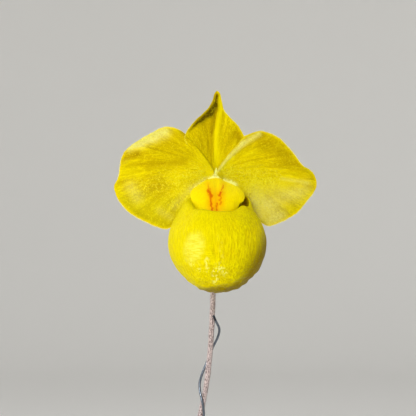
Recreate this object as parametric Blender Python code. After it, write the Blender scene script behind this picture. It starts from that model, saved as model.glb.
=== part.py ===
"""A cut slipper orchid standing in a plain bud vase of water.

One yellow bloom with a swollen pouch faces -Y, on a hairy stem that leans on the rim of the vase,
with a thin support wire wound loosely round it. The vase stands on Z = 0, with its axis on Z.
Every length here is in millimetres, and becomes metres where a mesh or an empty is made. The parts
of the bloom are measured from the bloom's own centre, the point where all its petals meet.
"""

import math

import bmesh
import bpy
import numpy as np
from mathutils import Vector

MM = 0.001
TOUCH = 0.3

# Where the bloom's centre is, from the middle of the vase's base
BLOOM_AT = (14.85, -20.0, 231.5)

# The vase, as (radius, height)
VASE_OUTSIDE = ((10.8, 108.6), (10.2, 105.0), (9.7, 98.0), (9.7, 90.0), (11.0, 80.5), (15.0, 70.5),
                (21.2, 59.0), (25.8, 46.0), (27.4, 33.0), (26.8, 19.0), (24.4, 6.5), (22.6, 1.2))
VASE_INSIDE = ((17.8, 5.0), (20.0, 6.6), (23.4, 19.0), (24.1, 33.0), (22.5, 45.5), (18.0, 57.5),
               (12.1, 69.0), (7.7, 80.0), (6.4, 91.0), (6.4, 105.0), (7.25, 108.9))
VASE_RIM = (9.0, 110.0)
VASE_FOOT_RADIUS = 21.2
VASE_STEPS = 40
WATER_LEVEL = 72.0
WATER_SIDE_GAP = 0.45

# The stem, as (x, y, z): upright under the bloom, leaning where it goes down into the vase
STEM_RADIUS = 1.2
STEM_SIDES = 10
STEM_LEAN = 0.2
STEM_FOOT_Z = 5.55
STEM_ROUTE = ((5.85, 0.0, 110.0), (8.11, 0.0, 121.3), (10.5, 0.0, 133.3), (12.05, 0.0, 145.0),
              (13.2, 0.0, 159.0), (14.05, 0.0, 178.4), (14.6, 0.0, 199.7))

# The support wire's turns round the stem, as (height, degrees round the stem, distance from its middle):
# 0 degrees is +X and 90 degrees is behind the stem
WIRE_RADIUS = 0.55
WIRE_SIDES = 8
WIRE_TURNS = ((170.0, -76, 2.15), (166.5, -50, 2.6), (162.0, -12, 3.9), (157.5, 25, 3.2),
              (153.0, 58, 2.3), (149.0, 90, 2.15), (144.5, 130, 2.2), (141.0, 160, 2.6),
              (136.5, 186, 3.15), (132.5, 212, 2.7), (129.0, 248, 2.15), (125.5, 284, 2.15),
              (121.5, 312, 2.4), (117.0, 314, 2.35), (112.0, 285, 2.2), (107.0, 258, 2.15), (102.0, 250, 2.2))
WIRE_FOOT = (-8.0, -7.0, 5.4)

# The ovary: a quarter of an ellipse from the top of the stem to the back of the bloom, its radius given
# by the share of the way along it, and the flat receptacle at its end, as (y, radius)
OVARY_START = (-0.25, 20.0, -31.5)
OVARY_END_Y = 2.6
OVARY_RADII = ((0.0, 1.3), (0.12, 1.75), (0.45, 2.1), (0.75, 1.8), (0.9, 1.7), (1.0, 1.9))
OVARY_RIBS = 6
OVARY_RIB_HEIGHT = 0.07
OVARY_SIDES = 24
RECEPTACLE = ((3.0, 1.4), (2.0, 2.6), (-0.3, 2.6), (-0.8, 2.1))

# The bract, a leaf that sheathes the foot of the ovary
BRACT_LENGTH = 17.0
BRACT_RADIUS = 2.75
BRACT_SPREAD = 0.9
BRACT_LEAN = 1.6
BRACT_WRAP = (116.0, 8.0)
BRACT_FOOT_RADIUS = 1.95
BRACT_THICKNESS = 0.6

# Petals and sepals, seen from the front: the first and last degrees of each foot on a ring round the
# receptacle, where 0 is +X, and each margin as (x, z)
FOOT_RADIUS = 3.0
RAY_LEAD = 0.3
PETAL_THICKNESS = 0.8
PETAL_REACH = 45.0
LEFT_FOOT = (203, 108)
LEFT_MARGIN = ((-13.5, -16.0), (-19.0, -22.6), (-22.5, -23.9), (-31.5, -19.4), (-37.8, -16.2),
               (-41.9, -12.1), (-44.6, -8.1), (-45.9, -3.6), (-44.1, 0.5), (-43.0, 5.0), (-43.2, 7.2),
               (-41.9, 10.8), (-39.2, 13.5), (-33.8, 18.0), (-29.3, 20.3), (-25.7, 22.1), (-22.5, 22.5),
               (-17.6, 21.6), (-12.5, 18.4))
LEFT_RIDGES = ((19, 6, 1.7), (-5, 8, 1.1), (-38, 13, 1.2))
RIGHT_FOOT = (-23, 63)
RIGHT_MARGIN = ((13.0, -11.4), (18.2, -18.2), (22.8, -22.2), (24.8, -22.5), (29.3, -20.5),
                (33.8, -18.5), (36.9, -16.7), (40.5, -13.1), (42.8, -10.3), (45.5, -6.3), (46.3, -3.2),
                (44.6, 0.5), (42.7, 2.7), (40.0, 4.3), (38.2, 5.9), (36.0, 9.5), (32.9, 13.5), (29.3, 17.1),
                (24.8, 19.4), (20.7, 20.3), (18.4, 20.0), (13.0, 18.0))
RIGHT_RIDGES = ((-28, 17, 3.2), (4, 7, 0.9), (52, 10, 1.0))
PETAL_SWEEP = 6.0

SEPAL_THICKNESS = 0.8
DORSAL_FOOT = (128, 52)
DORSAL_TIP_Z = 38.2
DORSAL_MARGIN = ((-11.6, 13.0), (-13.6, 16.8), (-12.9, 19.9), (-11.4, 22.2), (-9.1, 24.8),
                 (-5.7, 28.0), (-3.2, 30.4), (-1.2, 33.8), (-0.1, 37.2), (0.9, DORSAL_TIP_Z), (2.1, 37.2),
                 (3.1, 33.3), (4.3, 29.4), (7.2, 26.0), (10.1, 23.1), (11.8, 20.8), (13.2, 18.0),
                 (13.4, 15.4), (11.4, 11.6))
SYNSEPAL_FOOT = (-52, -128)
SYNSEPAL_MARGIN = ((10.6, -14.0), (12.0, -20.5), (10.2, -27.5), (6.2, -33.0), (1.6, -36.6),
                   (-0.8, -36.6), (-5.6, -33.0), (-9.8, -27.5), (-11.8, -20.5), (-10.4, -14.0))

# The lip, a nearly round pouch open at the top: its mouth is this many degrees from the top at the front
# and at the back, where a claw rises to the receptacle, and the mouth's edge is rolled inward at the
# front and nearly straight at the back
LIP_CENTRE = (0.8, -14.0, -30.3)
LIP_RADII = (21.9, 19.5, 21.9)
LIP_THICKNESS = 0.8
LIP_MOUTH = (48.2, 32.0)
LIP_CLAW_RISE = 0.475
LIP_CLAW_DROP = 4.0
LIP_CLAW_EDGE = 1.6
LIP_ROLL_LENGTH = 5.6
LIP_ROLL_RADIUS = 2.3
LIP_SPOKES = 40
LIP_ROWS = 15
LIP_ROLL_ROWS = 6

# The staminode, a domed shield, as (half width, height) down its right-hand side
SHIELD_MIDDLE_X = 1.15
SHIELD_SIDE = ((0.0, -0.7), (3.2, -1.6), (6.2, -2.9), (9.2, -4.5), (11.4, -6.5), (12.1, -8.8), (11.3, -11.2),
               (10.2, -13.4), (8.8, -15.6), (5.4, -17.3), (0.0, -17.9))
SHIELD_TOP_Y = -9.2
SHIELD_LEAN = 0.62
SHIELD_DOME = 2.6
SHIELD_THICKNESS = 1.3
SHIELD_MIDDLE_Z = -9.0

# The column behind the shield, as (x, y, z, radius)
COLUMN_LINE = ((0.0, -1.35, -0.5, 2.1), (0.05, -2.8, -0.55, 2.1), (0.4, -5.0, -1.5, 2.1),
               (0.7, -8.5, -4.0, 2.1), (1.1, -13.2, -7.4, 2.7))
ANTHER_OUT = 2.9
ANTHER_RADIUS = 1.5
STIGMA_RADIUS = 2.4


def clear_scene():
    for old in list(bpy.data.objects):
        bpy.data.objects.remove(old)


def material(name, colour, roughness, metallic=0.0):
    made = bpy.data.materials.new(name)
    made.use_nodes = True
    shader = made.node_tree.nodes["Principled BSDF"]
    shader.inputs["Base Color"].default_value = (*colour, 1.0)
    shader.inputs["Roughness"].default_value = roughness
    shader.inputs["Metallic"].default_value = metallic
    return made


def ease(value):
    """0 below 0, 1 above 1, and a smooth rise between them."""
    inside = np.clip(value, 0.0, 1.0)
    return inside * inside * (3.0 - 2.0 * inside)


def bell(value, middle, width):
    return np.exp(-(((value - middle) / width) ** 2))


def smooth_line(points, count):
    """count evenly spaced points on one smooth curve through the given points."""
    knots = np.array(points, float)
    gaps = np.sqrt(np.linalg.norm(np.diff(knots, axis=0), axis=1))
    at = np.concatenate([[0.0], np.cumsum(gaps)])
    slopes = np.gradient(knots, at, axis=0)
    fine = np.linspace(0.0, at[-1], 40 * len(knots))
    span = np.clip(np.searchsorted(at, fine, side="right") - 1, 0, len(gaps) - 1)
    width = gaps[span][:, None]
    part = (fine - at[span])[:, None] / width
    rest = 1.0 - part
    curve = (
        (1.0 + 2.0 * part) * rest**2 * knots[span]
        + part * rest**2 * width * slopes[span]
        + part**2 * (3.0 - 2.0 * part) * knots[span + 1]
        - part**2 * rest * width * slopes[span + 1]
    )
    run = np.concatenate([[0.0], np.cumsum(np.linalg.norm(np.diff(curve, axis=0), axis=1))])
    wanted = np.linspace(0.0, run[-1], count)
    return np.column_stack([np.interp(wanted, run, axis) for axis in curve.T])


def object_from(name, bm, look, parent=None):
    mesh = bpy.data.meshes.new(name)
    bm.to_mesh(mesh)
    bm.free()
    mesh.shade_smooth()
    mesh.set_sharp_from_angle(angle=math.radians(40.0))
    made = bpy.data.objects.new(name, mesh)
    mesh.materials.append(look)
    bpy.context.scene.collection.objects.link(made)
    made.parent = parent
    return made


def stitched(rings, loop=False, tip=None, caps=False):
    """A mesh through rows of points, in triangles; loop joins each row's ends, tip closes the last row."""
    bm = bmesh.new()
    rows = [[bm.verts.new(Vector(point) * MM) for point in ring] for ring in rings]
    across = len(rows[0])
    for low, high in zip(rows, rows[1:]):
        for i in range(across if loop else across - 1):
            j = (i + 1) % across
            bm.faces.new((low[i], low[j], high[j]))
            bm.faces.new((low[i], high[j], high[i]))
    if tip is not None:
        end = bm.verts.new(Vector(tip) * MM)
        for i in range(across):
            bm.faces.new((rows[-1][i], rows[-1][(i + 1) % across], end))
    if caps:
        bm.faces.new(rows[0])
        bm.faces.new(rows[-1])
    bmesh.ops.recalc_face_normals(bm, faces=bm.faces)
    return bm


def thicken(obj, thickness, offset=0.0):
    """Gives an open sheet its thickness; offset 0 puts the sheet in the middle, -1 at the outer side."""
    solid = obj.modifiers.new("thickness", "SOLIDIFY")
    solid.thickness = thickness * MM
    solid.offset = offset
    return obj


def rings_along(path, radii, sides, ribs=0, rib_height=0.0):
    """Rings of points round a path, each turned no further than the path itself turns."""
    path = np.array(path, float)
    ahead = np.gradient(path, axis=0)
    ahead /= np.linalg.norm(ahead, axis=1)[:, None]
    side = Vector(ahead[0]).orthogonal().normalized()
    rings = []
    for point, forward, radius in zip(path, ahead, radii):
        forward = Vector(forward)
        side = (side - forward * side.dot(forward)).normalized()
        other = forward.cross(side)
        ring = []
        for k in range(sides):
            turn = 2.0 * math.pi * k / sides
            reach = radius * (1.0 + rib_height * math.cos(ribs * turn))
            ring.append(Vector(point) + (side * math.cos(turn) + other * math.sin(turn)) * reach)
        rings.append(ring)
    return rings


def tube(name, path, radii, sides, look, parent=None):
    return object_from(name, stitched(rings_along(path, radii, sides), loop=True, caps=True), look, parent)


def cutter_of(obj):
    """Leaves a helper object out of the model."""
    obj.hide_render = True
    obj.display_type = "WIRE"
    return obj


def cut_or_join(obj, other, operation):
    boolean = obj.modifiers.new(other.name, "BOOLEAN")
    boolean.operation = operation
    boolean.object = other
    boolean.solver = "EXACT"


def turned(name, profile, look):
    """A body turned round Z from a profile that starts and ends on the axis, its outer side running down."""
    bm = bmesh.new()
    points = [bm.verts.new((radius * MM, 0.0, height * MM)) for radius, height in profile]
    for start, end in zip(points, points[1:]):
        bm.edges.new((start, end))
    made = object_from(name, bm, look)
    screw = made.modifiers.new("turned", "SCREW")
    screw.steps = VASE_STEPS
    screw.render_steps = VASE_STEPS
    screw.use_merge_vertices = True
    screw.merge_threshold = 0.00001
    screw.use_smooth_shade = True
    return made


def build_vase(look):
    foot = ((VASE_FOOT_RADIUS, 0.0), (0.0, 0.0))
    return turned("vase", [(0.0, VASE_INSIDE[0][1]), *VASE_INSIDE, VASE_RIM, *VASE_OUTSIDE, *foot], look)


def inside_radius(height):
    radii, heights = zip(*VASE_INSIDE)
    return float(np.interp(height, heights, radii))


def stem_points(spacing=4.0):
    """The stem's centre line from its foot on the floor of the vase to the foot of the ovary."""
    rim = STEM_ROUTE[0]
    drop = rim[2] - STEM_FOOT_Z
    foot = (rim[0] - STEM_LEAN * drop, rim[1], STEM_FOOT_Z)
    straight = np.linspace(foot, rim, 5)[:-1]
    curved = smooth_line(STEM_ROUTE, round((STEM_ROUTE[-1][2] - rim[2]) / spacing))
    return np.vstack([straight, curved])


def wire_points(spacing=2.1):
    """The wire's centre line from its tip down round the stem, and straight on to the floor of the vase."""
    stem = stem_points(spacing=1.0)
    turns = []
    for height, degrees, away in WIRE_TURNS:
        x, y = (float(np.interp(height, stem[:, 2], stem[:, axis])) for axis in (0, 1))
        angle = math.radians(degrees)
        turns.append((x + away * math.cos(angle), y + away * math.sin(angle), height))
    wound = smooth_line(turns, round((turns[0][2] - turns[-1][2]) / spacing))
    return np.vstack([wound, np.linspace(turns[-1], WIRE_FOOT, 4)[1:]])


def build_stem_and_wire(looks):
    line = stem_points()
    tube("scape", line, [STEM_RADIUS] * len(line), STEM_SIDES, looks["stem"])
    route = wire_points()
    tube("support_wire", route, [WIRE_RADIUS] * len(route), WIRE_SIDES, looks["wire"])


def build_water(look):
    """Water up to its level, with plain holes where the stem and the wire stand in it."""
    below = [(radius - WATER_SIDE_GAP, height) for radius, height in VASE_INSIDE if height < WATER_LEVEL]
    floor = below[0][1] + TOUCH
    top = (inside_radius(WATER_LEVEL) - WATER_SIDE_GAP, WATER_LEVEL)
    profile = [(0.0, WATER_LEVEL), top, *below[:0:-1], (below[0][0], floor), (0.0, floor)]
    water = turned("water", profile, look)
    stem = ("stem_hole", stem_points(), STEM_RADIUS)
    wire = ("wire_hole", wire_points()[::-1], WIRE_RADIUS)
    for name, line, radius in (stem, wire):
        low = line[0] + (line[0] - line[1]) * 0.2
        high = next(point for point in line if point[2] > WATER_LEVEL + 2.0)
        hole = tube(name, [low, high], [radius + TOUCH + 0.05] * 2, STEM_SIDES, look)
        cut_or_join(water, cutter_of(hole), "DIFFERENCE")


def build_ovary(look, bloom):
    """The ribbed ovary, bent from the stem's top to the bloom, and the round receptacle at its end."""
    start_x, start_y, start_z = OVARY_START
    turn = np.radians(np.linspace(0.0, 90.0, 13))
    path = np.column_stack([
        start_x * np.cos(turn),
        OVARY_END_Y + (start_y - OVARY_END_Y) * np.cos(turn),
        start_z * (1.0 - np.sin(turn)),
    ])
    along = np.linspace(0.0, 1.0, len(path))
    radii = np.interp(along, *zip(*OVARY_RADII))
    rings = rings_along(path, radii, OVARY_SIDES, OVARY_RIBS, OVARY_RIB_HEIGHT)
    ovary = object_from("ovary", stitched(rings, loop=True, caps=True), look, bloom)
    places, widths = zip(*RECEPTACLE)
    receptacle = tube("receptacle", [(0.0, y, 0.0) for y in places], widths, OVARY_SIDES, look, bloom)
    cut_or_join(ovary, cutter_of(receptacle), "UNION")


def build_bract(look, bloom):
    """A pointed leaf rolled round the back of the ovary's foot."""
    foot = Vector(OVARY_START)
    low_wrap, tip_wrap = BRACT_WRAP
    rows = []
    for up in np.linspace(0.0, 1.0, 9):
        half = math.radians(tip_wrap + (low_wrap - tip_wrap) * (1.0 - up) ** 0.75)
        turns = np.linspace(-half, half, 9)
        round_stem = [Vector((math.sin(turn), math.cos(turn), 0.0)) for turn in turns]
        if not rows:
            rows.append([foot + way * BRACT_FOOT_RADIUS + Vector((0.0, 0.0, -2.0)) for way in round_stem])
        raised = foot + Vector((0.0, BRACT_LEAN * up * up, 0.4 + BRACT_LENGTH * up))
        rows.append([raised + way * (BRACT_RADIUS + BRACT_SPREAD * up) for way in round_stem])
    thicken(object_from("bract", stitched(rows), look, bloom), BRACT_THICKNESS)


def blade(name, foot, margin, depth, look, bloom, thickness, rays, steps):
    """A petal or sepal: rays leave its foot straight outward and bend to even points on its margin."""
    turns = np.radians(np.linspace(*foot, rays))
    outward = np.column_stack([np.cos(turns), np.sin(turns)])
    start = FOOT_RADIUS * outward
    end = smooth_line(margin, rays)
    reach = np.linalg.norm(end - start, axis=1)[:, None]
    middle = start + RAY_LEAD * reach * outward
    rows = []
    for part in np.linspace(0.0, 1.0, steps):
        flat = (1.0 - part) ** 2 * start + 2.0 * part * (1.0 - part) * middle + part**2 * end
        rows.append([(x, depth(x, z), z) for x, z in flat])
    return thicken(object_from(name, stitched(rows), look, bloom), thickness)


def petal_depth(ridges, outward):
    """How far back a petal lies: swept back to its tip, with ridges as (degrees, width, height)."""
    def depth(x, z):
        far = (math.hypot(x, z) / PETAL_REACH) ** 2
        angle = math.degrees(math.atan2(z, outward * x))
        forward = sum(height * bell(angle, middle, width) for middle, width, height in ridges)
        return PETAL_SWEEP * far * bell(angle, 0.0, 50.0) - forward * far
    return depth


def dorsal_depth(x, z):
    """A trough with its fold down the middle and its point leaning forward, behind the petals below."""
    up = (z - FOOT_RADIUS) / (DORSAL_TIP_Z - FOOT_RADIUS)
    fold = 0.9 * float(ease((up - 0.45) / 0.4))
    aside = abs(x - fold + 0.4)
    trough = (0.05 + 0.26 * float(ease((up - 0.5) / 0.3))) * aside
    return 2.0 + 7.5 * up - 13.5 * up * up - trough


def synsepal_depth(x, z):
    """Behind the pouch, a little hollow towards it."""
    down = -FOOT_RADIUS - z
    return 2.2 + 5.6 * float(ease(down / 8.0)) + 0.004 * x * x


def build_petals(looks, bloom):
    blade("petal_left", LEFT_FOOT, LEFT_MARGIN, petal_depth(LEFT_RIDGES, -1.0),
          looks["petal"], bloom, PETAL_THICKNESS, 27, 13)
    blade("petal_right", RIGHT_FOOT, RIGHT_MARGIN, petal_depth(RIGHT_RIDGES, 1.0),
          looks["petal"], bloom, PETAL_THICKNESS, 27, 13)
    blade("dorsal_sepal", DORSAL_FOOT, DORSAL_MARGIN, dorsal_depth,
          looks["petal"], bloom, SEPAL_THICKNESS, 25, 11)
    blade("synsepal", SYNSEPAL_FOOT, SYNSEPAL_MARGIN, synsepal_depth,
          looks["sepal_back"], bloom, SEPAL_THICKNESS, 17, 9)


def lip_wall(around, down):
    """A point of the pouch: around is 0 at the front, down goes from 0 at the mouth to 1 at the bottom."""
    side = abs(around)
    front, back = LIP_MOUTH
    mouth = front + (back - front) * float(ease(side / 160.0))
    mouth += LIP_CLAW_DROP * float(ease((side - 100.0) / 60.0))
    polar = mouth + (180.0 - mouth) * down
    claw = LIP_CLAW_RISE * float(ease((side - 85.0) / 95.0)) ** 1.5
    taller = 1.0 + claw * (1.0 - float(ease((polar - mouth) / 55.0)))
    deeper = 1.0 + 0.67 * claw * (1.0 - float(ease((polar - mouth) / 30.0)))
    flat = 1.0 - 0.04 * float(bell(around, -90.0, 45.0) * bell(polar, 132.0, 28.0))
    turn, tilt = math.radians(around), math.radians(polar)
    way = (math.sin(tilt) * math.sin(turn), -math.sin(tilt) * math.cos(turn), math.cos(tilt))
    swell = (taller, deeper, taller)
    return Vector(LIP_CENTRE) + Vector(a * b * c * flat for a, b, c in zip(way, LIP_RADII, swell))


def lip_roll(around):
    """The mouth's edge, rolled inward, from its hidden end to the rim; at the back it is nearly straight."""
    rim = lip_wall(around, 0.0)
    rising = (rim - lip_wall(around, 0.01)).normalized()
    sideways = lip_wall(around + 1.0, 0.0) - lip_wall(around - 1.0, 0.0)
    outward = sideways.cross(rising).normalized()
    side = abs(around)
    rolled = 1.0 - float(ease((side - 80.0) / 60.0))
    length = 0.4 + LIP_ROLL_LENGTH * rolled * (1.0 - 0.5 * float(ease((side - 20.0) / 40.0)))
    length += LIP_CLAW_EDGE * (1.0 - rolled)
    radius = LIP_ROLL_RADIUS + 14.0 * (1.0 - rolled)
    points = []
    for k in range(LIP_ROLL_ROWS, 0, -1):
        turn = length * k / LIP_ROLL_ROWS / radius
        points.append(rim + rising * radius * math.sin(turn) - outward * radius * (1.0 - math.cos(turn)))
    return points


def build_lip(look, bloom):
    spokes = [360.0 * k / LIP_SPOKES - 180.0 for k in range(LIP_SPOKES)]
    shares = [k / LIP_ROWS for k in range(LIP_ROWS)]
    columns = [[*lip_roll(around), *(lip_wall(around, down) for down in shares)] for around in spokes]
    rows = list(zip(*columns))
    lip = object_from("lip", stitched(rows, loop=True, tip=lip_wall(0.0, 1.0)), look, bloom)
    thicken(lip, LIP_THICKNESS, offset=-1.0)


def shield_rows():
    """The staminode's front face as rings from its middle out to its margin."""
    side = smooth_line(SHIELD_SIDE, 15)
    right = [(SHIELD_MIDDLE_X + half, z) for half, z in side]
    left = [(SHIELD_MIDDLE_X - half, z) for half, z in side[-2:0:-1]]
    rows = []
    for out in (1.0, 0.85, 0.65, 0.4, 0.2):
        ring = []
        for edge_x, edge_z in right + left:
            x = SHIELD_MIDDLE_X + (edge_x - SHIELD_MIDDLE_X) * out
            z = SHIELD_MIDDLE_Z + (edge_z - SHIELD_MIDDLE_Z) * out
            ring.append((x, shield_y(z, out), z))
        rows.append(ring)
    return rows


def shield_y(z, out):
    return SHIELD_TOP_Y + SHIELD_LEAN * (z - SHIELD_SIDE[0][1]) - SHIELD_DOME * (1.0 - out**2.4)


def build_shield(name, thickness, look, bloom):
    tip = (SHIELD_MIDDLE_X, shield_y(SHIELD_MIDDLE_Z, 0.0), SHIELD_MIDDLE_Z)
    return thicken(object_from(name, stitched(shield_rows(), loop=True, tip=tip), look, bloom), thickness)


def ball(name, at, radius, look, bloom):
    bm = bmesh.new()
    bmesh.ops.create_uvsphere(bm, u_segments=12, v_segments=8, radius=radius * MM)
    made = object_from(name, bm, look, bloom)
    made.location = Vector(at) * MM
    return cutter_of(made)


def build_column(look, bloom):
    """The column with its two pollen masses and its stigma, cut clear of the shield that it carries."""
    line = smooth_line(COLUMN_LINE, 8)
    column = tube("column", line[:, :3], line[:, 3], 14, look, bloom)
    x, y, z, _ = COLUMN_LINE[3]
    for side, label in ((-1.0, "anther_left"), (1.0, "anther_right")):
        mass = ball(label, (x + side * ANTHER_OUT, y + 1.0, z), ANTHER_RADIUS, look, bloom)
        cut_or_join(column, mass, "UNION")
    cut_or_join(column, ball("stigma", (x, y + 0.6, z - 1.9), STIGMA_RADIUS, look, bloom), "UNION")
    room = cutter_of(build_shield("shield_room", SHIELD_THICKNESS + 2.0 * TOUCH + 0.1, look, bloom))
    cut_or_join(column, room, "DIFFERENCE")


def main():
    clear_scene()
    looks = {
        "petal": material("petal", (0.80, 0.62, 0.005), 0.5),
        "lip": material("lip", (0.82, 0.66, 0.005), 0.45),
        "shield": material("shield", (0.86, 0.60, 0.004), 0.4),
        "sepal_back": material("sepal_back", (0.62, 0.56, 0.05), 0.55),
        "column": material("column", (0.72, 0.66, 0.20), 0.5),
        "ovary": material("ovary", (0.30, 0.34, 0.10), 0.7),
        "stem": material("stem", (0.50, 0.38, 0.33), 0.8),
        "wire": material("wire", (0.42, 0.44, 0.47), 0.3, 1.0),
        "glaze": material("glaze", (0.045, 0.048, 0.052), 0.35),
        "water": material("water", (0.62, 0.72, 0.74), 0.05),
    }
    bloom = bpy.data.objects.new("bloom", None)
    bloom.location = Vector(BLOOM_AT) * MM
    bpy.context.scene.collection.objects.link(bloom)
    build_vase(looks["glaze"])
    build_water(looks["water"])
    build_stem_and_wire(looks)
    build_ovary(looks["ovary"], bloom)
    build_bract(looks["ovary"], bloom)
    build_petals(looks, bloom)
    build_lip(looks["lip"], bloom)
    build_shield("staminode", SHIELD_THICKNESS, looks["shield"], bloom)
    build_column(looks["column"], bloom)


main()
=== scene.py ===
"""The finished look of a yellow slipper orchid that stands in a charcoal bud vase of water.

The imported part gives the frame. Every visible piece but the water is made again here, finer, from the
same sizes as its solid: petals with folds, thin margins and veins, a wrinkled pouch, a streaked shield,
hairs on the bloom and the stem, a cut wire, and a glazed vase. Lengths are in millimetres until a mesh
is made, and the parts of the bloom are measured from the bloom's own centre, as they are in the part.
"""

import math

import bmesh
import bpy
import numpy as np
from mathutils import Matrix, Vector


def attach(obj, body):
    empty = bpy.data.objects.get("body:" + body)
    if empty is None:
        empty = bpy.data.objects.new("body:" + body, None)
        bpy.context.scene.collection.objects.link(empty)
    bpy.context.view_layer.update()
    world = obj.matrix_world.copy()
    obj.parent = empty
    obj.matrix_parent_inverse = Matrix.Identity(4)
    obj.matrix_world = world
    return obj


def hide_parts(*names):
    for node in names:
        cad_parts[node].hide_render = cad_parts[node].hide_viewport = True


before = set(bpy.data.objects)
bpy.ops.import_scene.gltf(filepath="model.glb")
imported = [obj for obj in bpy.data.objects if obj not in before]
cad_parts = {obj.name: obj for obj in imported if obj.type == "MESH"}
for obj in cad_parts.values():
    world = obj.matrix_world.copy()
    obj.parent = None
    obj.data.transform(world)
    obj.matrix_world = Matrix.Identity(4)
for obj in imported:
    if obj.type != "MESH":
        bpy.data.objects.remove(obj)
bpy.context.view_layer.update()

MM = 0.001

# The bloom's centre and the middle of the vase's base: each piece is measured from one of them
BLOOM_AT = (14.85, -20, 231.5)
VASE_AT = (0, 0, 0)

# The camera stands level with the middle of the photograph, and looks along +Y
CAMERA_AT = (11.7, -870, 217.1)
CAMERA_LENS = 163.5
CAMERA_SENSOR = 36
CAMERA_REACH = (0.05, 20)

# The studio in metres: the radius of the flat floor, that of the curve up to its wall, and the wall as
# (radius, height); how strong the light from all round is; and the lamps, as (name, way to it from the
# bloom, distance, width, height, spread, power)
FLOOR_RADIUS = 1.6
FLOOR_CURVE = 0.5
FLOOR_WALL = ((2.12, 1.2), (2.15, 2.2))
AMBIENT = 0.48
LAMPS = (
    ("front", (-0.22, -0.96, 0.2), 1.7, 0.5, 0.5, 1.8, 4.7),
    ("left", (-0.86, -0.49, 0.13), 1.5, 0.45, 0.75, 1.8, 2),
    ("rim", (-0.75, 0.55, 0.4), 1.6, 0.4, 0.4, 1.8, 1.35),
    ("top", (0.1, 0.25, 1), 1.7, 1.2, 1.2, math.pi, 3),
)

# The vase, as (radius, height), with its foot from the edge to the middle; the rings of its inside and
# its outside, and the points of each ring
VASE_OUTSIDE = ((9, 110), (10.8, 108.6), (10.2, 105), (9.7, 98), (9.7, 90), (11, 80.5), (15, 70.5),
                (21.2, 59), (25.8, 46), (27.4, 33), (26.8, 19), (24.4, 6.5), (22.6, 1.2))
VASE_INSIDE = ((17.8, 5), (20, 6.6), (23.4, 19), (24.1, 33), (22.5, 45.5), (18, 57.5), (12.1, 69),
               (7.7, 80), (6.4, 91), (6.4, 105), (7.25, 108.9), (9, 110))
VASE_FLOOR = (0.6, 5)
VASE_FOOT = ((22.3, 0.5), (21.8, 0.12), (21.2, 0), (19.6, 0), (19, 0.15), (18.6, 0.7), (0.6, 0.8))
VASE_RINGS = (110, 150)
VASE_SIDES = 144

# The stem, as (x, y, z), and the support wire's turns round it, as (height, degrees, distance), with the
# rings of the wire's turns and of its straight end
STEM_RADIUS = 1.2
STEM_SIDES = 40
STEM_LEAN = 0.2
STEM_FOOT_Z = 5.55
STEM_ROUTE = ((5.85, 0, 110), (8.11, 0, 121.3), (10.5, 0, 133.3), (12.05, 0, 145), (13.2, 0, 159),
              (14.05, 0, 178.4), (14.6, 0, 199.7))
WIRE_RADIUS = 0.55
WIRE_SIDES = 18
WIRE_RINGS = (260, 24)
WIRE_TURNS = ((167.8, -78, 2.15), (165.6, -52, 2.5), (161.3, -12, 3.65), (157.2, 22, 3.2), (153, 58, 2.3),
              (149, 90, 2.15), (144.5, 130, 2.2), (141, 160, 2.6), (136.5, 186, 3.15), (132.5, 212, 2.7),
              (129, 248, 2.15), (125.5, 284, 2.15), (121.5, 312, 2.4), (117, 314, 2.35), (112, 285, 2.2),
              (107, 258, 2.15), (102, 250, 2.2))
WIRE_FOOT = (-8, -7, 5.4)

# The ovary, its radii as (share of the way up, radius), its receptacle as (y, radius), and the bract at
# its foot
OVARY_START = (-0.25, 20, -31.5)
OVARY_END_Y = 2.6
OVARY_RADII = ((0, 1.3), (0.12, 1.75), (0.45, 2.1), (0.75, 1.8), (0.9, 1.7), (1, 1.9))
OVARY_RIBS = 6
OVARY_SIDES = 72
RECEPTACLE = ((3, 1.4), (2.6, 2.1), (2, 2.3), (0.9, 2.1), (0.5, 1.6), (0.4, 0.8))
RECEPTACLE_SIDES = 48
BRACT_LENGTH = 17
BRACT_RADIUS = 2.75
BRACT_SPREAD = 0.9
BRACT_LEAN = 1.6
BRACT_WRAP = (116, 8)
BRACT_FOOT_RADIUS = 1.95
BRACT_THICKNESS = 0.5
BRACT_MARGIN = 0.12

# Petals and sepals, seen from the front: the degrees of each foot round the receptacle, and each margin
# as (x, z); the ridges spread from the centre, as (degrees, width, height)
FOOT_RADIUS = 3
HEART_RADIUS = 0.9
RAY_LEAD = 0.3
RIM_JAG = 0.35
PETAL_REACH = 45
PETAL_SWEEP = 6
LEFT_FOOT = (203, 108)
LEFT_MARGIN = ((-13.5, -16), (-19, -22.6), (-22.5, -23.9), (-31.5, -20.6), (-37.8, -17.2), (-42.4, -12.6),
               (-45, -8.3), (-45.8, -4.8), (-43.7, 0.3), (-43.1, 5), (-42.7, 7.5), (-41.2, 10.8),
               (-38.8, 13.3), (-33.5, 16.9), (-29.2, 19.3), (-25.6, 21.2), (-22.3, 22.3), (-17.6, 21.6),
               (-12.5, 18.4))
LEFT_RIDGES = ((19, 6, 1.7), (-5, 8, 1.1), (-38, 13, 1.2))
RIGHT_FOOT = (-23, 63)
RIGHT_MARGIN = ((13, -11.4), (18.2, -18.2), (22.8, -22.2), (24.8, -22.5), (29.3, -21), (33.8, -18.7),
                (36.9, -16.7), (40.2, -13.1), (42.6, -10.2), (45.5, -6.3), (46.3, -3.2), (45.2, 0.5),
                (43.1, 2.8), (40.2, 4.5), (38.6, 6.1), (36.2, 9.5), (32.9, 13.5), (29.3, 17.1),
                (24.8, 19.4), (20.7, 20.3), (18.4, 20), (13, 18))
RIGHT_RIDGES = ((-28, 17, 3.2), (4, 7, 0.9), (52, 10, 1))
DORSAL_FOOT = (128, 52)
DORSAL_TIP_Z = 38.2
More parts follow.
